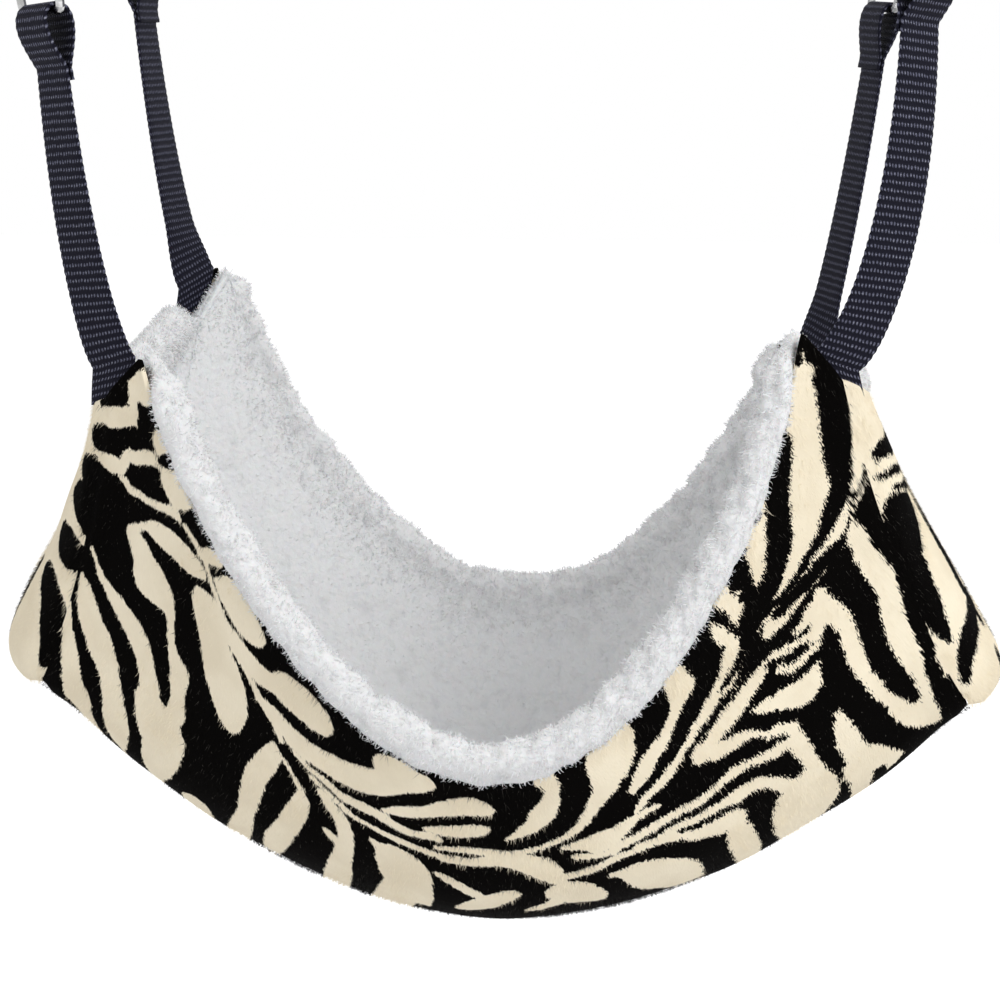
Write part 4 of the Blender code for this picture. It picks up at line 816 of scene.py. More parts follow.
    (-1, ((0.606, 0.732, 5.0), (0.603, 0.853, 6.9), (0.598, 1.029, 6.7), (0.588, 1.18, 5.6), (0.565, 1.52, 5.6))),
    (-1, ((0.304, 0.636, 1.7), (0.338, 0.661, 3.8), (0.374, 0.71, 9.0), (0.411, 0.792, 13.2), (0.443, 0.861, 12.3),
        (0.459, 1.023, 7.6))),
    (-1, ((0.175, 0.677, 7.6), (0.206, 0.703, 10.4), (0.24, 0.759, 7.6), (0.256, 0.818, 3.8))),
    (-1, ((0.155, 0.761, 3.8), (0.127, 0.793, 3.3), (0.088, 0.832, 2.4))),
    (-1, ((-0.144, 0.521, 1.2), (-0.108, 0.552, 2.4), (-0.067, 0.597, 2.6), (-0.027, 0.656, 2.8))),
    (-1, ((-0.076, 0.794, 3.8), (-0.038, 0.747, 6.6), (0.005, 0.691, 6.6), (0.044, 0.652, 4.7), (0.054, 0.653, 2.8))),
    (-1, ((0.399, 0.372, 1.1), (0.429, 0.34, 2.2), (0.47, 0.328, 2.5), (0.511, 0.311, 2.5), (0.548, 0.285, 1.6),
        (0.581, 0.267, 2.2), (0.617, 0.251, 2.7), (0.648, 0.237, 3.0), (0.686, 0.229, 4.3), (0.709, 0.2, 4.7),
        (0.726, 0.169, 4.7), (0.744, 0.148, 4.8))),
    (-1, ((0.779, 0.324, 1.6), (0.753, 0.331, 3.3), (0.721, 0.329, 4.6), (0.686, 0.336, 4.9), (0.651, 0.348, 4.4),
        (0.615, 0.352, 3.9), (0.588, 0.36, 4.9), (0.576, 0.373, 3.2))),
    (-1, ((0.613, 0.403, 4.4), (0.662, 0.436, 3.3), (0.697, 0.468, 2.6), (0.727, 0.514, 2.1), (0.755, 0.542, 2.7),
        (0.78, 0.57, 2.6))),
    (-1, ((0.779, 0.575, 3.6), (0.781, 0.634, 4.9), (0.787, 0.724, 4.5), (0.782, 0.812, 7.2), (0.752, 0.898, 16.3),
        (0.727, 1.013, 14.6), (0.705, 1.19, 10.4), (0.665, 1.52, 10.4))),
    (-1, ((0.72, 0.409, 1.1), (0.754, 0.445, 3.2), (0.791, 0.485, 5.2), (0.822, 0.523, 6.4), (0.851, 0.538, 5.4),
        (0.874, 0.536, 3.2), (0.883, 0.532, 1.1))),
    (-1, ((0.8, 0.394, 1.4), (0.821, 0.433, 2.1), (0.848, 0.457, 2.1), (0.872, 0.472, 1.6), (0.896, 0.486, 1.3))),
    (-1, ((0.774, 0.319, 1.6), (0.814, 0.359, 2.1), (0.845, 0.401, 1.6), (0.869, 0.427, 1.6), (0.897, 0.449, 2.7))),
    (-1, ((0.871, 0.691, 1.9), (0.87, 0.74, 4.6), (0.868, 0.814, 5.9), (0.873, 0.914, 6.8), (0.866, 0.994, 8.6),
        (0.828, 1.52, 8.6))),
    (-1, ((0.874, 0.955, 12.1), (0.895, 1.008, 9.5), (0.92, 1.044, 4.7))),
    (1, ((0.889, 1.053, 3.8), (0.879, 1.19, 5.2), (0.855, 1.52, 5.2))),
    (-1, ((0.993, 0.082, 18.5), (0.975, 0.123, 22.0), (0.943, 0.145, 22.5), (0.908, 0.155, 19.5),
        (0.865, 0.149, 20.6))),
    (-1, ((0.801, 0.104, 19.0), (0.756, 0.105, 13.6), (0.728, 0.115, 8.1))),
    (-1, ((1.085, 0.121, 4.8), (1.093, 0.171, 5.8), (1.082, 0.239, 6.1), (1.053, 0.307, 3.4), (1.019, 0.37, 2.4),
        (0.996, 0.4, 3.6), (0.978, 0.385, 5.3), (0.955, 0.367, 5.4), (0.93, 0.345, 5.4), (0.904, 0.323, 4.9),
        (0.877, 0.304, 4.3), (0.851, 0.286, 4.9), (0.826, 0.277, 4.3), (0.798, 0.268, 2.2))),
    (-1, ((0.954, 0.467, 3.7), (0.927, 0.464, 11.2), (0.902, 0.435, 11.5), (0.881, 0.408, 7.8))),
    (-1, ((0.948, 0.501, 3.8), (0.946, 0.559, 4.8), (0.939, 0.61, 4.7), (0.942, 0.681, 4.5), (0.955, 0.762, 4.4),
        (0.967, 0.838, 4.4), (0.979, 0.902, 6.7), (0.998, 0.964, 7.1), (1.015, 0.985, 6.5))),
    (-1, ((0.998, 0.442, 3.6), (1.003, 0.479, 5.7), (1.022, 0.515, 7.0), (1.037, 0.556, 7.1), (1.035, 0.604, 6.0),
        (1.027, 0.655, 6.2), (1.026, 0.707, 6.8), (1.025, 0.761, 6.3), (1.026, 0.821, 4.5), (1.025, 0.882, 4.0),
        (1.02, 0.932, 4.5))),
    (1, ((0.949, 0.0, 1.3), (0.94, 0.0, 1.0), (0.918, -0.022, 8.6), (0.912, 0.013, 7.8), (0.902, 0.048, 6.6),
        (0.894, 0.085, 6.3), (0.886, 0.123, 6.8), (0.874, 0.153, 6.4), (0.855, 0.172, 5.4), (0.83, 0.182, 5.4),
        (0.799, 0.179, 6.5), (0.772, 0.187, 5.9), (0.751, 0.216, 3.2), (0.715, 0.235, 2.2), (0.671, 0.241, 1.4))),
    (1, ((0.805, 0.0, 1.7), (0.781, -0.025, 5.0), (0.779, 0.021, 6.6), (0.785, 0.08, 5.4), (0.791, 0.141, 3.2),
        (0.791, 0.176, 2.4))),
    (1, ((0.859, 0.0, 1.1), (0.85, 0.0, 1.9), (0.838, -0.027, 1.0))),
    (1, ((0.691, -0.02, 2.2), (0.707, 0.022, 3.4), (0.724, 0.082, 2.5), (0.738, 0.136, 1.7), (0.749, 0.176, 2.1))),
    (1, ((0.651, 0.011, 2.9), (0.647, 0.055, 7.5), (0.649, 0.099, 7.5), (0.659, 0.164, 3.0))),
    (-1, ((0.767, 0.064, 1.0), (0.767, 0.065, 1.0))),
    (1, ((1.048, 0.025, 7.4), (1.047, 0.077, 8.0), (1.037, 0.146, 7.5), (1.021, 0.222, 7.5), (1.011, 0.281, 6.7),
        (1.0, 0.333, 5.5), (0.988, 0.34, 5.3), (0.97, 0.331, 4.6), (0.948, 0.319, 3.2), (0.921, 0.297, 2.4),
        (0.898, 0.284, 2.2), (0.867, 0.265, 2.2), (0.835, 0.238, 2.7), (0.805, 0.215, 3.2))),
    (1, ((1.085, 0.24, 1.3), (1.08, 0.266, 2.0), (1.052, 0.318, 1.5), (1.021, 0.369, 1.0), (1.003, 0.412, 1.0),
        (0.989, 0.418, 1.3))),
    (1, ((0.989, 0.418, 1.3), (0.974, 0.412, 2.7), (0.945, 0.371, 3.7), (0.916, 0.34, 4.3), (0.889, 0.312, 3.8),
        (0.858, 0.284, 3.2), (0.828, 0.262, 2.7))),
    (1, ((1.09, 0.3, 3.8), (1.07, 0.361, 7.3), (1.076, 0.407, 8.8), (1.087, 0.456, 8.3), (1.1, 0.51, 7.1),
        (1.097, 0.572, 6.8), (1.094, 0.64, 8.2), (1.087, 0.7, 7.8), (1.083, 0.765, 6.9), (1.076, 0.823, 7.3),
        (1.071, 0.878, 7.6), (1.063, 0.933, 6.7), (1.017, 1.52, 6.7))),
    (1, ((0.982, 0.453, 2.6), (0.964, 0.44, 7.3), (0.96, 0.467, 8.2), (0.974, 0.536, 7.5), (0.978, 0.577, 6.5),
        (0.977, 0.616, 6.2), (0.975, 0.664, 6.1), (0.974, 0.712, 6.1), (0.982, 0.776, 5.8), (0.991, 0.842, 4.9),
        (0.999, 0.887, 3.1))),
    (1, ((0.839, 0.336, 1.6), (0.857, 0.347, 3.2), (0.876, 0.351, 3.0), (0.897, 0.36, 2.4), (0.917, 0.374, 1.6))),
    (1, ((0.913, 0.495, 2.0), (0.905, 0.518, 4.4), (0.9, 0.557, 5.4), (0.891, 0.583, 6.0))),
    (1, ((0.879, 0.416, 1.3), (0.854, 0.392, 1.8), (0.819, 0.341, 2.3), (0.785, 0.303, 3.0), (0.748, 0.295, 2.5),
        (0.717, 0.296, 1.9), (0.676, 0.294, 1.7), (0.628, 0.297, 1.6), (0.594, 0.318, 1.4))),
    (1, ((0.866, 0.437, 1.1), (0.848, 0.42, 1.8), (0.827, 0.395, 1.6), (0.81, 0.372, 1.0))),
    (1, ((0.6, 0.555, 1.5), (0.645, 0.57, 2.3), (0.692, 0.6, 2.6), (0.722, 0.639, 4.9), (0.749, 0.691, 5.0),
        (0.764, 0.735, 2.1), (0.77, 0.753, 1.0))),
    (1, ((0.617, 0.474, 2.8), (0.659, 0.485, 3.3), (0.693, 0.503, 3.5), (0.727, 0.543, 2.6), (0.752, 0.572, 1.9),
        (0.767, 0.586, 1.0))),
    (-1, ((1.085, 0.79, 1.0), (1.085, 0.82, 1.5), (1.085, 0.86, 2.4))),
    (1, ((-1.046, 0.004, 2.2), (-1.023, 0.0, 3.0), (-1.0, 0.013, 3.8), (-0.995, 0.0, 2.1))),
    (-1, ((-0.988, 0.011, 5.4), (-0.982, 0.021, 5.4))),
    (1, ((0.986, 0.0, 2.6), (0.986, -0.029, 3.8), (1.01, 0.026, 3.8), (1.054, -0.008, 3.3), (1.076, 0.0, 0.7))),
    (1, ((0.485, 0.585, 1.0), (0.508, 0.603, 1.7), (0.537, 0.618, 2.0), (0.571, 0.633, 2.0), (0.601, 0.638, 1.6))),
    (1, ((-0.942, 0.072, 1.5), (-0.925, 0.024, 3.6), (-0.904, -0.03, 3.2))),
)
LEFT_STROKES: Strokes = (
    (1, ((0.0, 0.0, 1.3), (0.0, 0.0, 2.6), (0.0, 0.013, 2.1))),
    (1, ((0.006, 0.137, 2.5), (0.0, 0.125, 5.2), (0.0, 0.125, 5.8), (0.0, 0.113, 5.6), (0.0, 0.113, 5.6))),
    (1, ((0.033, 0.218, 6.6), (0.0, 0.25, 10.3), (0.0, 0.288, 8.6), (0.0, 0.312, 8.6))),
    (1, ((0.077, 0.314, 3.8), (0.019, 0.343, 11.4), (0.0, 0.388, 7.3), (0.0, 0.425, 4.3))),
    (1, ((0.113, 0.427, 1.9), (0.104, 0.468, 6.6), (0.054, 0.498, 9.5), (0.0, 0.527, 5.7), (0.0, 0.5, 3.0))),
    (1, ((0.152, 0.572, 1.4), (0.109, 0.612, 7.1), (0.055, 0.679, 9.0), (0.033, 0.751, 7.9), (0.019, 0.829, 4.9),
        (0.016, 0.9, 2.6))),
)
RIGHT_STROKES: Strokes = (
    (1, ((0.133, 0.062, 1.3), (0.15, 0.113, 2.1), (0.15, 0.138, 6.1), (0.045, 0.184, 3.9), (0.027, 0.217, 1.7))),
    (1, ((0.016, 0.272, 1.3), (0.08, 0.242, 2.2), (0.2, 0.225, 1.7), (0.2, 0.225, 1.1))),
    (1, ((0.057, 0.296, 1.0), (0.16, 0.282, 3.0), (0.233, 0.275, 2.6))),
    (1, ((0.04, 0.352, 5.5), (0.068, 0.423, 16.1), (0.033, 0.495, 14.2), (0.027, 0.579, 12.2), (0.035, 0.659, 8.3),
        (0.041, 0.727, 4.3), (0.045, 0.764, 1.8))),
    (1, ((0.517, 0.6, 1.0), (0.475, 0.65, 4.3), (0.289, 0.683, 6.1), (0.207, 0.724, 6.6), (0.119, 0.773, 7.0),
        (0.066, 0.826, 5.5), (0.042, 0.88, 3.2))),
)
PANEL_STROKES = {-1: LEFT_STROKES, 0: LONG_STROKES, 1: RIGHT_STROKES}


@dataclass(frozen=True)
class ZebraPattern:
    """Stripes laid on one panel, each a rounded stroke with its own half width at each point."""

    panel: Panel
    strokes: Strokes
    plain: float = 0.02
    margin: float = 0.006
    curve_samples: int = 5
    end_mirror: float = 1.17

    def value(self, places: np.ndarray) -> np.ndarray:
        """Distance inside the black, in metres, negative in the cream.

        Args:
            places: Places on the panel.

        Returns:
            One number for each place.
        """
        flat = places.reshape(-1, 3)
        found = np.full(len(flat), -self.plain if self.panel.side else self.plain)
        for sign, line, widths in self.lines():
            low = line.min(axis=0) - widths.max() - self.margin
            high = line.max(axis=0) + widths.max() + self.margin
            near = np.all((flat > low) & (flat < high), axis=1)
            if not near.any():
                continue
            inside = self.inside(flat[near], line, widths)
            if sign > 0:
                found[near] = np.maximum(found[near], inside)
            else:
                found[near] = np.minimum(found[near], -inside)
        return found.reshape(places.shape[:-1])

    def lines(self) -> list[tuple[int, np.ndarray, np.ndarray]]:
        """Each stroke's colour, line and half widths.

        The long panel's rear half mirrors its front half, and the end panels share their further strokes.
        """
        if self.panel.side:
            further, turn, shift = END_STROKES, (-self.panel.side, 1, 1), (self.end_mirror, 0, 0)
            shift = shift if self.panel.side > 0 else (0, 0, 0)
        else:
            further, turn, shift = self.strokes, (1, -1, 1), (0, 3, 0)
        own = [(sign, np.array(points)) for sign, points in self.strokes]
        turned = [(sign, np.array(points) * turn + shift) for sign, points in further]
        return [(sign, *self.stroke_line(points)) for sign, points in own + turned]

    def stroke_line(self, points: np.ndarray) -> tuple[np.ndarray, np.ndarray]:
        """A stroke's middle line in metres and its half widths, smoothed through its points."""
        padded_points = np.vstack((2 * points[0] - points[1], points, 2 * points[-1] - points[-2]))
        samples = []
        for number in range(1, len(padded_points) - 2):
            before, start, finish, after = padded_points[number - 1:number + 3]
            for share in np.linspace(0, 1, self.curve_samples, endpoint=number == len(padded_points) - 3):
                samples.append(0.5 * (2 * start + (finish - before) * share
                                      + (2 * before - 5 * start + 4 * finish - after) * share ** 2
                                      + (3 * start - before - 3 * finish + after) * share ** 3))
        samples = np.array(samples)
        return self.panel.surface(samples[:, 0], samples[:, 1]), np.maximum(samples[:, 2], 0.0) / 1000

    @staticmethod
    def inside(places: np.ndarray, line: np.ndarray, widths: np.ndarray) -> np.ndarray:
        """How far each place is inside a stroke."""
        best = np.full(len(places), -1.0)
        for start, finish, wide, narrow in zip(line[:-1], line[1:], widths[:-1], widths[1:]):
            step = finish - start
            share = np.clip((places - start) @ step / max(step @ step, 1e-12), 0, 1)
            gap = np.linalg.norm(places - start - share[:, None] * step, axis=1)
            best = np.maximum(best, wide + (narrow - wide) * share - gap)
        return best


@dataclass
class ZebraCover:
    """The outer plush cover: a long panel and two end panels, sewn at their seams."""

    shape: CradleShape
    finish: PlushFinish
    thickness: float = 0.0025
    unevenness: float = 0.0009
    wave_length: float = 0.06
    wave_margin: float = 0.02
    seam_valley: float = 0.0016
    valley_width: float = 0.006
    hem_down: float = 0.018
    wall_reach: float = 1.1
    wall_rows: int = 126
    bottom_rows: int = 37
    long_cells: int = 310
    end_cells: tuple[int, int] = (100, 130)

    def build(self) -> None:
        """Make and dress the three panels."""
        cloth = self.finish.make()
        wall = np.linspace(0, self.wall_reach, self.wall_rows)
        bottom = np.linspace(self.wall_reach, 3 - self.wall_reach, self.bottom_rows)
        down = np.concatenate((wall[:-1], bottom, 3 - wall[-2::-1]))
        self.panel("plush_cover_long_panel", Panel(self.shape), cloth, self.shape.stations(self.long_cells), down,
                   "outer_cover", (0.46, 0.50), 0.185)
        for side, label in ((-1, "left"), (1, "right")):
            across, down = (np.linspace(0, 1, cells + 1) for cells in self.end_cells)
            self.panel(f"plush_cover_{label}_end", Panel(self.shape, side), cloth, across, down,
                       f"{label}_end_cover", (0.20, 0.21), 0.0285)

    def panel(self, name: str, panel: Panel, cloth: bpy.types.Material, first: np.ndarray, second: np.ndarray,
              node: str, flat: tuple[float, float], area: float) -> None:
        """Make and dress one panel of the cover.

        Args:
            name: The piece's name.
            panel: The panel's surface.
            cloth: Its material.
            first: Stations along the panel.
            second: Stations down the panel.
            node: The CAD node that it stands for.
            flat: Width and length that it was cut to; not used.
            area: Flat area of the cut; not used.
        """
        second, tuck, rise = self.hemmed(panel, second)
        along, down = np.meshgrid(first, second)
        places = panel.surface(along, down)
        inward = panel.inward(along, down)
        _, way_down = panel.slope(along, down)
        up = np.where(column(down) < 1.5, -way_down, way_down)
        places = places + inward * column(tuck)[:, None] + up * column(rise)[:, None]
        border = self.border(panel, along, down)
        valley = self.seam_valley * (1 - smooth_step(border / self.valley_width))
        swell = self.unevenness * waves(places, self.wave_length, 3) * smooth_step(border / self.wave_margin)
        stripe = ZebraPattern(panel, PANEL_STROKES[panel.side]).value(places)
        uv = np.stack((np.cumsum(self.steps(places, 1), axis=1), np.cumsum(self.steps(places, 0), axis=0)), axis=-1)
        piece = shaped_grid(name, places + inward * column(valley - swell), -inward, uv, {"stripe": stripe})
        piece.data.materials.append(cloth)
        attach(piece, BED_BODY)
        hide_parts(node)
        LOG.info("%s: %d faces, cloth area %.4f m2", name, len(piece.data.polygons),
                 sum(face.area for face in piece.data.polygons))

    def hemmed(self, panel: Panel, second: np.ndarray) -> tuple[np.ndarray, np.ndarray, np.ndarray]:
        """Stations with a turned-in hem at each rim, and each station's depth and rise there."""
        hem = np.array((self.hem_down, 0.0, 0.0, 0.0, 0.0))
        tuck = np.array((1.0, 1.0, 0.85, 0.5, 0.15)) * self.thickness
        rise = np.array((0.0, 0.0, 0.25, 0.38, 0.25)) * self.thickness
        level = np.zeros(len(second))
        return (from_rim_to_rim(panel, hem, second, 3 - hem), from_rim_to_rim(panel, tuck, level, tuck),
                from_rim_to_rim(panel, rise, level, rise))

    @staticmethod
    def steps(places: np.ndarray, axis: int) -> np.ndarray:
        """Distance of each place from the one before it along an axis."""
        return np.linalg.norm(np.diff(places, axis=axis, prepend=np.take(places, [0], axis=axis)), axis=-1)

    @staticmethod
    def border(panel: Panel, along: np.ndarray, down: np.ndarray) -> np.ndarray:
        """Rough distance in metres from the panel's seams."""
        end_width, wall_height = 0.16, 0.20
        if panel.side:
            return np.minimum(np.minimum(along, 1 - along) * end_width, (1 - down) * wall_height)
        return (panel.shape.seam_reach - np.abs(along)) * wall_height


@dataclass
class PlushNap:
    """Loose hairs of the plush, which stand out along seams, rims and the outline."""

    shape: CradleShape
    length: float = 0.0025
    width: float = 0.00026
    sway: float = 0.45
    rise: tuple[float, float] = (0.25, 0.95)
    unlike: tuple[float, float] = (0.5, 1.25)
    rim_gain: float = 0.9
    rim_reach: float = 0.03
    root_depth: float = 0.0004
    long_hairs: int = 60000
    end_hairs: int = 16000
    seed: int = 11

    def build(self, cloth: bpy.types.Material) -> None:
        """Make and dress the hairs of the three panels."""
        for side, label, number in ((0, "long_panel", self.long_hairs), (-1, "left_end", self.end_hairs),
                                    (1, "right_end", self.end_hairs)):
            piece = self.hairs(f"plush_nap_{label}", Panel(self.shape, side), number)
            piece.data.materials.append(cloth)

    def hairs(self, name: str, panel: Panel, number: int) -> bpy.types.Object:
        """The hairs of one panel, each a single narrow face.

        Args:
            name: The piece's name.
            panel: The panel's surface.
            number: How many hairs.

        Returns:
            The piece with the hairs.
        """
        scatter = np.random.default_rng(self.seed + panel.side)
        if panel.side:
            first, second = scatter.uniform(0.0, 1.0, number), scatter.uniform(0.0, 1.0, number)
        else:
            reach = self.shape.seam_reach
            first, second = scatter.uniform(-reach, reach, number), scatter.uniform(0.0, 3.0, number)
        root = panel.surface(first, second)
        inward = panel.inward(first, second)
        along, down = panel.slope(first, second)
        fall = np.where(column(second) < 1.5, down, -down) if not panel.side else down
        lean = unit(fall + along * column(scatter.normal(0, self.sway, number)))
        rise = column(scatter.uniform(*self.rise, number))
        edge = np.minimum(second, 3 - second) if not panel.side else second
        gain = 1 + self.rim_gain * np.exp(-(edge / self.rim_reach) ** 2)
        long = column(self.length * scatter.uniform(*self.unlike, number) * gain)
        tip = root + unit(lean - unit(inward) * rise) * long
        side = unit(np.cross(lean, inward)) * self.width / 2
        stripe = ZebraPattern(panel, PANEL_STROKES[panel.side]).value(root)
        root = root + inward * self.root_depth
        places = np.stack((root - side, root + side, tip), axis=1)
        mesh = bpy.data.meshes.new(name)
        mesh.from_pydata(places.reshape(-1, 3), [], np.arange(3 * number).reshape(-1, 3))
        carry(mesh, "stripe", np.repeat(stripe, 3))
        carry(mesh, "shade", np.repeat(scatter.uniform(0, 1, number), 3))
        piece = placed(name, mesh)
        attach(piece, BED_BODY)
        LOG.info("%s: %d hairs", name, number)
        return piece


@dataclass
class FleeceLining:
    """The curly fleece inside the bed, rolled over the cover at every rim."""

    shape: CradleShape
    long_cells: int = 300
    end_stations: int = 111
    long_rows: int = 168
    end_rows: int = 84
    depth: float = 0.0118
    roll_rows: int = 34
    roll_turn: tuple[float, float] = (-50.0, 205.0)
    roll_height: float = 0.0150
    roll_foot: float = 0.47
    roll_fullness: float = 0.85
    overhang: float = 0.0008
    inside: float = 0.0020
    back: float = 0.0030
    corner_roll: float = 0.0031
    corner_depth: float = 0.0102
    corner_drop: float = 0.004
    corner_reach: tuple[float, float] = (0.11, 0.08)
    corner_lead: float = 0.30
    long_corner: tuple[float, float] = (1.002, 0.05)
    tuft: float = 0.0040
    tuft_pitch: float = 0.0130
    small_tuft: float = 0.0022
    small_pitch: float = 0.0064
    corner_share: float = 0.25
    lip_share: float = 0.35
    wall_share: float = 0.45
    wall_start: float = 0.02
    seam_allowance: float = 0.012
    curl_size: tuple[float, float] = (0.0010, 0.0020)
    curl_width: float = 0.00042
    curl_root: float = 0.0002
    curl_steepness: float = 1.2
    long_curls: int = 30000
    end_curls: int = 8000

    def build(self, cloth: bpy.types.Material) -> None:
        """Make and dress the lining's three panels."""
        self.panel("fleece_lining_long_panel", Panel(self.shape), self.shape.stations(self.long_cells), cloth,
                   ("fleece_lining", "wadding"))
        for side, label in ((-1, "left"), (1, "right")):
            self.panel(f"fleece_lining_{label}_end", Panel(self.shape, side),
                       np.linspace(0, 1, self.end_stations), cloth, (f"{label}_end_lining", f"{label}_end_wadding"))

    def roll_outline(self) -> tuple[np.ndarray, np.ndarray, np.ndarray, np.ndarray]:
        """Height and depth of the roll, from under its outer lip over the top to the inside.

        Returns:
            Height and depth along the rim, then height and depth at a corner, where it is slim.
        """
        bulk = 0.5 * (self.depth + self.inside + self.overhang)
        turn = np.linspace(*(math.radians(angle) for angle in self.roll_turn), self.roll_rows)
        depth = (self.depth + self.inside - self.overhang) / 2 - bulk * np.cos(turn)
        swing = np.sign(np.sin(turn)) * np.abs(np.sin(turn)) ** self.roll_fullness
        height = self.roll_height * (self.roll_foot + (1 - self.roll_foot) * swing)
        slim_height = self.corner_roll * np.sin(turn) - self.corner_drop
        return height, depth, slim_height, self.corner_depth - self.corner_roll * np.cos(turn)

    def panel(self, name: str, panel: Panel, first: np.ndarray, cloth: bpy.types.Material,
              nodes: tuple[str, ...]) -> None:
        """Make and dress one panel of the lining with its rolled rims, and its curls.

        Args:
            name: The piece's name.
            panel: The panel's surface.
            first: Stations along the panel.
            cloth: Its material.
            nodes: The CAD nodes that it stands for.
        """
        height, depth, slim_height, slim_depth = self.roll_outline()
        if panel.side:
            inner = np.linspace(self.wall_start, 1.0, self.end_rows)
        else:
            inner = np.linspace(self.wall_start, 3 - self.wall_start, self.long_rows)
        level, rim = np.zeros(len(inner)), np.zeros(len(height))
        second = from_rim_to_rim(panel, rim, inner, rim + 3.0)
        rise = from_rim_to_rim(panel, height, level, height)
        sink = from_rim_to_rim(panel, depth, level + self.depth, depth)
        slim_rise = from_rim_to_rim(panel, slim_height, level, slim_height)
        slim_sink = from_rim_to_rim(panel, slim_depth, level + self.corner_depth + self.corner_roll, slim_depth)
        reach = self.full_share(panel, first, second)
        along, down = np.meshgrid(first, second)
        base = panel.surface(along, down)
        inward = panel.inward(along, down)
        _, way_down = panel.slope(along, down)
        up = np.where(column(down) < 1.5, -way_down, way_down)
        sinks = mix(slim_sink[:, None], sink[:, None], reach)
        lift = mix(slim_rise[:, None], rise[:, None], reach)
        places = base + inward * column(sinks) + up * column(lift * (down * (3 - down) < 0.001))
        normal = self.normals(places, inward)
        large, small = curds(places, self.tuft_pitch, 1), curds(places, self.small_pitch, 2)
        bulge = self.tuft * (large - 0.45) + self.small_tuft * (small - 0.4)
        amount = mix(self.corner_share, 1.0, reach) * np.where(rise > 0, 1.0, self.wall_share)[:, None]
        lip = np.where(rise > 0, smooth_step((sink + 0.0005) / 0.006), 1.0)[:, None]
        places = places + normal * column(bulge * amount * mix(self.lip_share, 1.0, lip))
        tuft = 0.25 * large + 0.75 * small
        laid, facing, heights = places, normal, tuft
        if panel.side:
            tucked = unit(np.array((-panel.side, 0.0, -0.40))) * self.seam_allowance
            laid = np.concatenate((places, places[-1:] + tucked / 2, places[-1:] + tucked))
            facing, heights = (np.concatenate((whole, whole[-1:], whole[-1:])) for whole in (normal, tuft))
        piece = shaped_grid(name, laid, facing, None, {"tuft": heights})
        modifier = piece.modifiers.new("thickness", "SOLIDIFY")
        modifier.thickness = self.back
        modifier.offset = -1
        modifier.use_rim = True
        piece.data.materials.append(cloth)
        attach(piece, BED_BODY)
        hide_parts(*nodes)
        LOG.info("%s: %d faces", name, len(piece.data.polygons))
        curls = self.curls(name.replace("lining", "curls"), places, self.normals(places, inward),
                           self.curl_rows(rise > 0), self.end_curls if panel.side else self.long_curls)
        curls.data.materials.append(cloth)

    def full_share(self, panel: Panel, first: np.ndarray, second: np.ndarray) -> np.ndarray:
        """From 0 at the panel's corners, where the roll is slim, to 1 where it is full.

        Args:
            panel: The panel's surface.
            first: Stations along the panel.
            second: Stations down the panel.

        Returns:
            One share for each row and column.
        """
        if not panel.side:
            reach, width = self.long_corner
            return smooth_step((reach - np.abs(first))[None, :] / width)
        across, foot = self.corner_reach
        near = np.minimum(np.minimum(first, 1 - first)[None, :] / across, (1 - second)[:, None] / foot)
        return smooth_step(np.where(second[:, None] > 0, near, near - self.corner_lead))

    @staticmethod
    def curl_rows(rolled: np.ndarray) -> np.ndarray:
        """How thickly each row is set with curls: most on the rolls, few deep inside."""
        number = np.arange(len(rolled))
        away = np.min(np.abs(number[:, None] - number[rolled][None, :]), axis=1)
        return mix(3.0, 0.15, smooth_step(away / 14))

    def curls(self, name: str, places: np.ndarray, normal: np.ndarray, rows: np.ndarray,
              number: int) -> bpy.types.Object:
        """Loose curls of the fleece, each a narrow strip bent over.

        Args:
            name: The piece's name.
            places: Places of the lining's visible side.
            normal: Directions out of it.
            rows: How thickly each row is set with curls.
            number: How many curls.

        Returns:
            The piece with the curls.
        """
        scatter = np.random.default_rng(number + len(name))
        across, down = np.diff(places, axis=1)[:-1], np.diff(places, axis=0)[:, :-1]
        share = np.linalg.norm(np.cross(across, down), axis=-1) * rows[:-1, None]
        picked = scatter.choice(share.size, number, p=share.ravel() / share.sum())
        row, line = np.divmod(picked, share.shape[1])
        root = places[row, line] + across[row, line] * column(scatter.uniform(0, 1, number)) \
            + down[row, line] * column(scatter.uniform(0, 1, number))
        out = unit(normal[row, line])
        flat = unit(np.cross(out, unit(across[row, line])))
        turn = column(scatter.uniform(0, 2 * math.pi, number))
        way = unit(across[row, line]) * np.cos(turn) + flat * np.sin(turn)
        wide = unit(np.cross(out, way)) * self.curl_width / 2
        size = column(scatter.uniform(*self.curl_size, number))
        rings = []
        for bend, width in zip(np.radians((0, 32, 64, 96)), (1.0, 0.9, 0.65, 0.2)):
            lift = size * self.curl_steepness * math.sin(bend) - self.curl_root
            middle = root + way * size * (1 - math.cos(bend)) + out * lift
            rings += [middle - wide * width, middle + wide * width]
        corners = np.stack(rings, axis=1).reshape(-1, 3)
        strips = np.array(((0, 1, 3, 2), (2, 3, 5, 4), (4, 5, 7, 6)))
        faces = (strips[None] + 8 * np.arange(number)[:, None, None]).reshape(-1, 4)
        mesh = bpy.data.meshes.new(name)
        mesh.from_pydata(corners, [], faces)
        mesh.shade_smooth()
        carry(mesh, "tuft", np.repeat(scatter.uniform(0.4, 1.0, number), 8))
        piece = placed(name, mesh)
        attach(piece, BED_BODY)
        LOG.info("%s: %d curls", name, number)
        return piece

    @staticmethod
    def normals(places: np.ndarray, inward: np.ndarray) -> np.ndarray:
        """Direction square to the visible side of the lining."""
        across = np.gradient(places, axis=1)
        down = np.gradient(places, axis=0)
        square = unit(np.cross(across, down))
        middle = len(places) // 2
        facing = np.sum(square[middle] * inward[middle], axis=-1).mean()
        return square if facing > 0 else -square


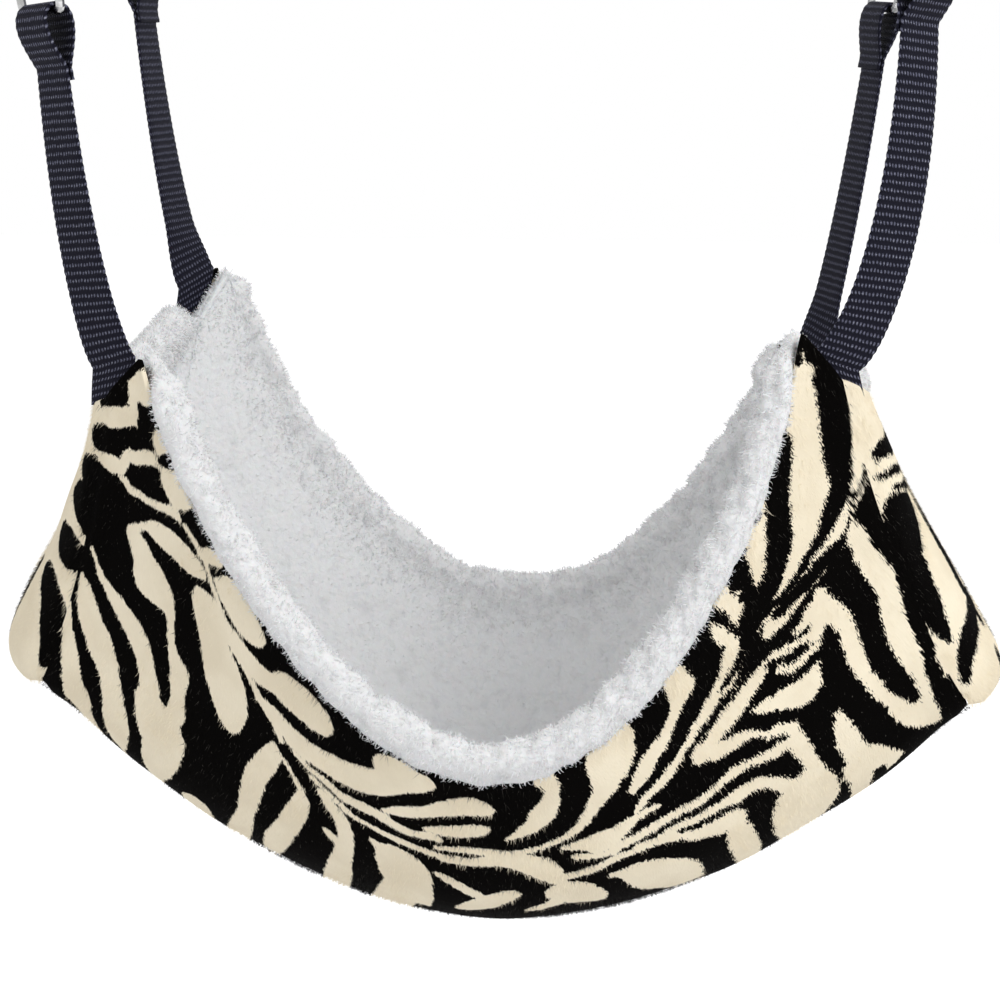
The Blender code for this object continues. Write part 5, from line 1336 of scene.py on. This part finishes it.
@dataclass
class WebbingStrap:
    """One strap: sewn in at the corner, twisted up its run, looped over the hook's eye and sewn down."""

    corner: StrapCorner
    shape: CradleShape
    width: float = 0.025
    thickness: float = 0.0017
    sewn_depth: float = 0.018
    gap: float = 0.0003
    cad_thickness: float = 0.0015
    loop_height: float = 0.027
    loop_fullness: float = 1.4
    loop_tail: float = 0.005
    rib_pitch: float = 0.0034
    run_steps: int = 330
    loop_steps: int = 110
    sewn_steps: int = 6
    fold_reach: tuple[float, float] = (0.003, 0.013)
    straightened: float = 0.030
    selvedge_dent: float = 0.030
    rib_share: float = 0.16

    def joint(self, suffix: str) -> dict:
        """The strap's own joint of that kind."""
        return next(joint for joint in frame["joints"] if joint["name"] == f"{self.corner.label}_{suffix}")

    def build(self, cloth: bpy.types.Material) -> None:
        """Make and dress the strap."""
        frames = self.frames()
        strap = self.ribbon(frames)
        strap.data.materials.append(cloth)
        hinge, label = self.hinge(), self.corner.label
        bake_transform(strap)
        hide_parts(f"{label}_strap", f"{label}_strap_sewn_end")

    def hinge(self) -> np.ndarray:
        """Where the strap folds at the rim."""
        return np.array(self.joint("strap_fold")["pos_m"], dtype=float)

    def up(self) -> np.ndarray:
        """Direction of the strap's run."""
        return unit(np.array(self.joint("hook_swivel")["axis"], dtype=float))

    def inner_side(self, across: np.ndarray) -> np.ndarray:
        """Thickness direction that faces the bed's middle."""
        inner = unit(np.cross(self.up(), across))
        inwards = -np.array((self.corner.side, self.corner.end, 0.0))
        return inner if inner @ inwards > 0 else -inner

    def frames(self) -> list[tuple[np.ndarray, np.ndarray, np.ndarray]]:
        """Middle, half width and thickness directions from the sewn end to the cut end."""
        corner, hinge, up = self.corner, self.hinge(), self.up()
        fold_axis = unit(np.array(self.joint("strap_fold")["axis"], dtype=float))
        base = unit(fold_axis - up * (fold_axis @ up))
        top = corner.across(corner.top_turn)
        top = unit(top - up * (top @ up))
        if base @ top < 0:
            base = -base
            fold_axis = -fold_axis
        slant = fold_axis / (fold_axis @ base) * self.width / 2
        seam = self.shape.seam(corner.side, np.array((0.0, 0.08) if corner.end < 0 else (3.0, 2.92)))
        down = unit(seam[1] - seam[0])
        found = []
        for along in np.linspace(-self.sewn_depth, 0, self.sewn_steps + 1)[:-1]:
            found.append((hinge - down * along, slant, self.inner_side(base)))
        for share in np.linspace(0, 1, self.run_steps + 1):
            across = unit(mix(base, top, share ** corner.twist_power))
            bent = share ** 0.7
            bow = corner.bow * 4 * bent * (1 - bent)
            middle = hinge + up * (self.gap + corner.run * share) + np.array((corner.side * bow, 0.0, 0.0))
            side = mix(slant, across * self.width / 2, float(smooth_step(share * corner.run / self.straightened)))
            found.append((middle, side, self.inner_side(across)))
        inner = self.inner_side(top)
        foot = found[-1][0]
        turned = len(found) - 1
        for turn in np.linspace(0, 2 * math.pi, self.loop_steps + 1)[1:]:
            height = self.loop_height * (1 - math.cos(turn)) / 2
            bulge = corner.loop_half_depth * math.sin(turn) * math.sin(turn / 2) ** self.loop_fullness
            doubled = (self.cad_thickness + self.gap) * turn / (2 * math.pi)
            found.append((foot + up * height + inner * (doubled - bulge), top * self.width / 2, None))
        foot = found[-1][0]
        for share in (0.35, 0.7, 1.0):
            found.append((foot - up * self.loop_tail * share, top * self.width / 2, None))
        return self.square_up(found, turned)

    def square_up(self, found: list, turned: int) -> list[tuple[np.ndarray, np.ndarray, np.ndarray]]:
        """Set the loop's thickness directions square to the way that the webbing runs."""
        squared = []
        for number, (middle, side, thick) in enumerate(found):
            if thick is None or number == turned:
                following = found[min(number + 1, len(found) - 1)][0]
                previous = found[max(number - 1, 0)][0]
                thick = unit(np.cross(following - previous, side))
                if thick @ squared[-1][2] < 0:
                    thick = -thick
            squared.append((middle, side, thick))
        return squared

    def ribbon(self, frames: list[tuple[np.ndarray, np.ndarray, np.ndarray]]) -> bpy.types.Object:
        """The webbing as one closed strip with rounded selvedges."""
        front = [(-1, 0.0), (-0.975, 0.72), (-0.93, 0.96), (-0.5, 1), (0, 1), (0.5, 1), (0.93, 0.96), (0.975, 0.72)]
        outline = front + [(-x, -y) for x, y in front] + front[:1]
        run = np.cumsum([0.0] + [np.linalg.norm(two[0] - one[0]) for one, two in zip(frames, frames[1:])])
        ribs = np.abs(np.sin(math.pi * run / self.rib_pitch))
        places = np.array([[middle + side * x * (1 - self.selvedge_dent * (1 - rib) * (abs(x) > 0.9))
                            + thick * y * self.thickness / 2 * (1 - self.rib_share * (1 - rib)) for x, y in outline]
                           for (middle, side, thick), rib in zip(frames, ribs)])
        around = np.array([(x + 1) * self.width / 2 if y >= 0 else self.width + (1 - x) * self.width / 2
                           for x, y in outline])
        around[-1] = 2 * self.width
        uv = np.stack(np.broadcast_arrays(around[None, :], run[:, None]), axis=-1)
        outward = np.array([[side / self.width * x + thick * y for x, y in outline] for _, side, thick in frames])
        strap = shaped_grid(f"{self.corner.label}_webbing_strap", places, outward, uv)
        shell = bmesh.new()
        shell.from_mesh(strap.data)
        bmesh.ops.remove_doubles(shell, verts=shell.verts, dist=1e-6)
        bmesh.ops.holes_fill(shell, edges=[edge for edge in shell.edges if edge.is_boundary], sides=0)
        shell.to_mesh(strap.data)
        shell.free()
        return strap


@dataclass
class SnapHooks:
    """Finish of the four swivel snap hooks, whose leaf springs are remade as strips cut into rows."""

    nickel: MetalFinish = MetalFinish("bright_nickel", (0.56, 0.56, 0.56, 1.0), (0.42, 0.42, 0.41, 1.0),
                                      0.10, 0.24, 160.0)
    steel: MetalFinish = MetalFinish("spring_steel_strip", (0.30, 0.31, 0.33, 1.0), (0.20, 0.20, 0.21, 1.0),
                                     0.24, 0.42, 420.0)
    spring_foot_share: float = 0.36
    spring_rows: int = 9

    def dress(self) -> None:
        """Put the metal finishes on the nodes that stay."""
        wear = edge_wear_group()
        nickel, steel = self.nickel.make(wear), self.steel.make(wear)
        for corner in StrapCorner:
            for part in ("swivel_eye", "hook", "gate", "gate_pin"):
                node = frame["nodes"][f"{corner.label}_{part}"]
                for slot in node.material_slots:
                    slot.material = nickel
                LOG.info("%s: %s", node.name, nickel.name)
            self.flex_spring(corner, steel)

    def flex_spring(self, corner: StrapCorner, steel: bpy.types.Material) -> None:
        """Make the leaf spring as a strip cut across into rows between its bend and its tip.

        Args:
            corner: The corner of the bed whose hook holds the spring.
            steel: Finish of the strip.
        """
        node = frame["nodes"][f"{corner.label}_gate_spring"]
        solid = bmesh.new()
        solid.from_mesh(node.data)
        solid.transform(node.matrix_world)
        heights = sorted((vertex.co.copy() for vertex in solid.verts), key=lambda place: place.z)
        foot, tip = (sum(ends, Vector()) / len(ends) for ends in (heights[:4], heights[-4:]))
        bend = foot.lerp(tip, self.spring_foot_share)
        for cut in range(self.spring_rows):
            bmesh.ops.bisect_plane(solid, geom=solid.verts[:] + solid.edges[:] + solid.faces[:], dist=1e-7,
                                   plane_co=bend.lerp(tip, (cut + 0.5) / self.spring_rows), plane_no=tip - foot)
        leaf = placed(f"{corner.label}_spring_leaf", finished_mesh(f"{corner.label}_spring_leaf", solid))
        leaf.data.materials.clear()
        leaf.data.materials.append(steel)
        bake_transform(leaf)
        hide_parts(node.name)


@dataclass(frozen=True)
class Studio:
    """Plain pale floor, white surround, soft lamps and the camera."""

    azimuth: float = 5.0
    elevation: float = 12.0
    lens: float = 87.84
    stand: tuple[float, float, float] = (0.1014, -1.1183, -0.0582)
    lamps: tuple[tuple[str, tuple[float, float, float], float, float], ...] = (
        ("key_lamp", (1.3, -1.2, 0.9), 22.5, 1.0),
        ("fill_lamp", (-1.3, -1.2, 0.6), 6.0, 1.4),
        ("rim_lamp", (0.2, 1.4, 1.0), 7.0, 1.2))
    lit_height: float = -0.3
    floor_height: float = -0.80
    floor_half: float = 6.0
    floor_glow: float = 0.62
    surround_light: float = 0.55
    white: tuple[float, float, float, float] = (1.0, 1.0, 1.0, 1.0)
    pale: tuple[float, float, float, float] = (0.82, 0.82, 0.83, 1.0)

    def build(self) -> None:
        """Make the camera, the lamps, the floor and the world."""
        self.camera()
        for lamp in self.lamps:
            self.lamp(*lamp)
        self.floor()
        self.world()
        bpy.context.scene.view_settings.view_transform = "Standard"

    def camera(self) -> None:
        """The camera at the photograph's angle."""
        turn, rise = math.radians(self.azimuth), math.radians(self.elevation)
        back = Vector((math.sin(turn) * math.cos(rise), -math.cos(turn) * math.cos(rise), math.sin(rise)))
        right = Vector((math.cos(turn), math.sin(turn), 0.0))
        up = back.cross(right)
        data = bpy.data.cameras.new("photo_camera")
        data.lens = self.lens
        data.sensor_width = 36.0
        data.clip_start = 0.01
        camera = placed("photo_camera", data)
        camera.matrix_world = Matrix.Translation(self.stand) @ Matrix((right, up, back)).transposed().to_4x4()
        bpy.context.scene.camera = camera

    def lamp(self, name: str, place: tuple[float, float, float], power: float, size: float) -> None:
        """A soft square lamp that faces the bed."""
        data = bpy.data.lights.new(name, "AREA")
        data.energy = power
        data.size = size
        lamp = placed(name, data)
        way = Vector(place) - Vector((0.0, 0.0, self.lit_height))
        lamp.matrix_world = Matrix.Translation(place) @ way.to_track_quat("Z", "Y").to_matrix().to_4x4()

    def floor(self) -> None:
        """A wide pale floor that turns white for the camera and keeps the shadow."""
        shell = bmesh.new()
        bmesh.ops.create_grid(shell, x_segments=1, y_segments=1, size=self.floor_half)
        bmesh.ops.translate(shell, verts=shell.verts, vec=(0.0, 0.0, self.floor_height))
        floor = placed("studio_floor", finished_mesh("studio_floor", shell))
        maker = MaterialMaker("pale_floor")
        maker.set(Base_Color=self.pale, Roughness=0.9)
        maker.set(Emission_Color=self.white,
                  Emission_Strength=maker.math("MULTIPLY", maker.mirrored_rays(), self.floor_glow))
        floor.data.materials.append(maker.material)

    def world(self) -> None:
        """White surround for the camera and for reflections, dimmer as a light."""
        world = bpy.data.worlds.new("studio_world")
        world.use_nodes = True
        maker = NodeMaker(world.node_tree)
        background = next(node for node in maker.tree.nodes if node.type == "BACKGROUND")
        maker.fill(background.inputs["Color"], self.white)
        strength = maker.spread(maker.mirrored_rays(), 0.0, 1.0, self.surround_light, 1.0, way="LINEAR")
        maker.link(strength, background.inputs["Strength"])
        bpy.context.scene.world = world


def main() -> None:
    """Build every piece, dress it and note some sizes of the looks."""
    logging.basicConfig(level=logging.INFO, format="%(name)s: %(message)s")
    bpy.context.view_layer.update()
    Studio().build()
    shape = CradleShape()
    plush = PlushFinish()
    ZebraCover(shape, plush).build()
    PlushNap(shape).build(plush.make_nap())
    FleeceLining(shape).build(FleeceFinish().make())
    finish = WebbingFinish()
    # The front straps get more painted highlight and flecks on their weave than the rear ones.
    webbing = {end: finish.make(worn) for end, worn in finish.worn_by_end}
    for corner in StrapCorner:
        WebbingStrap(corner, shape).build(webbing[corner.end])
    SnapHooks().dress()


if __name__ == "__main__":
    main()
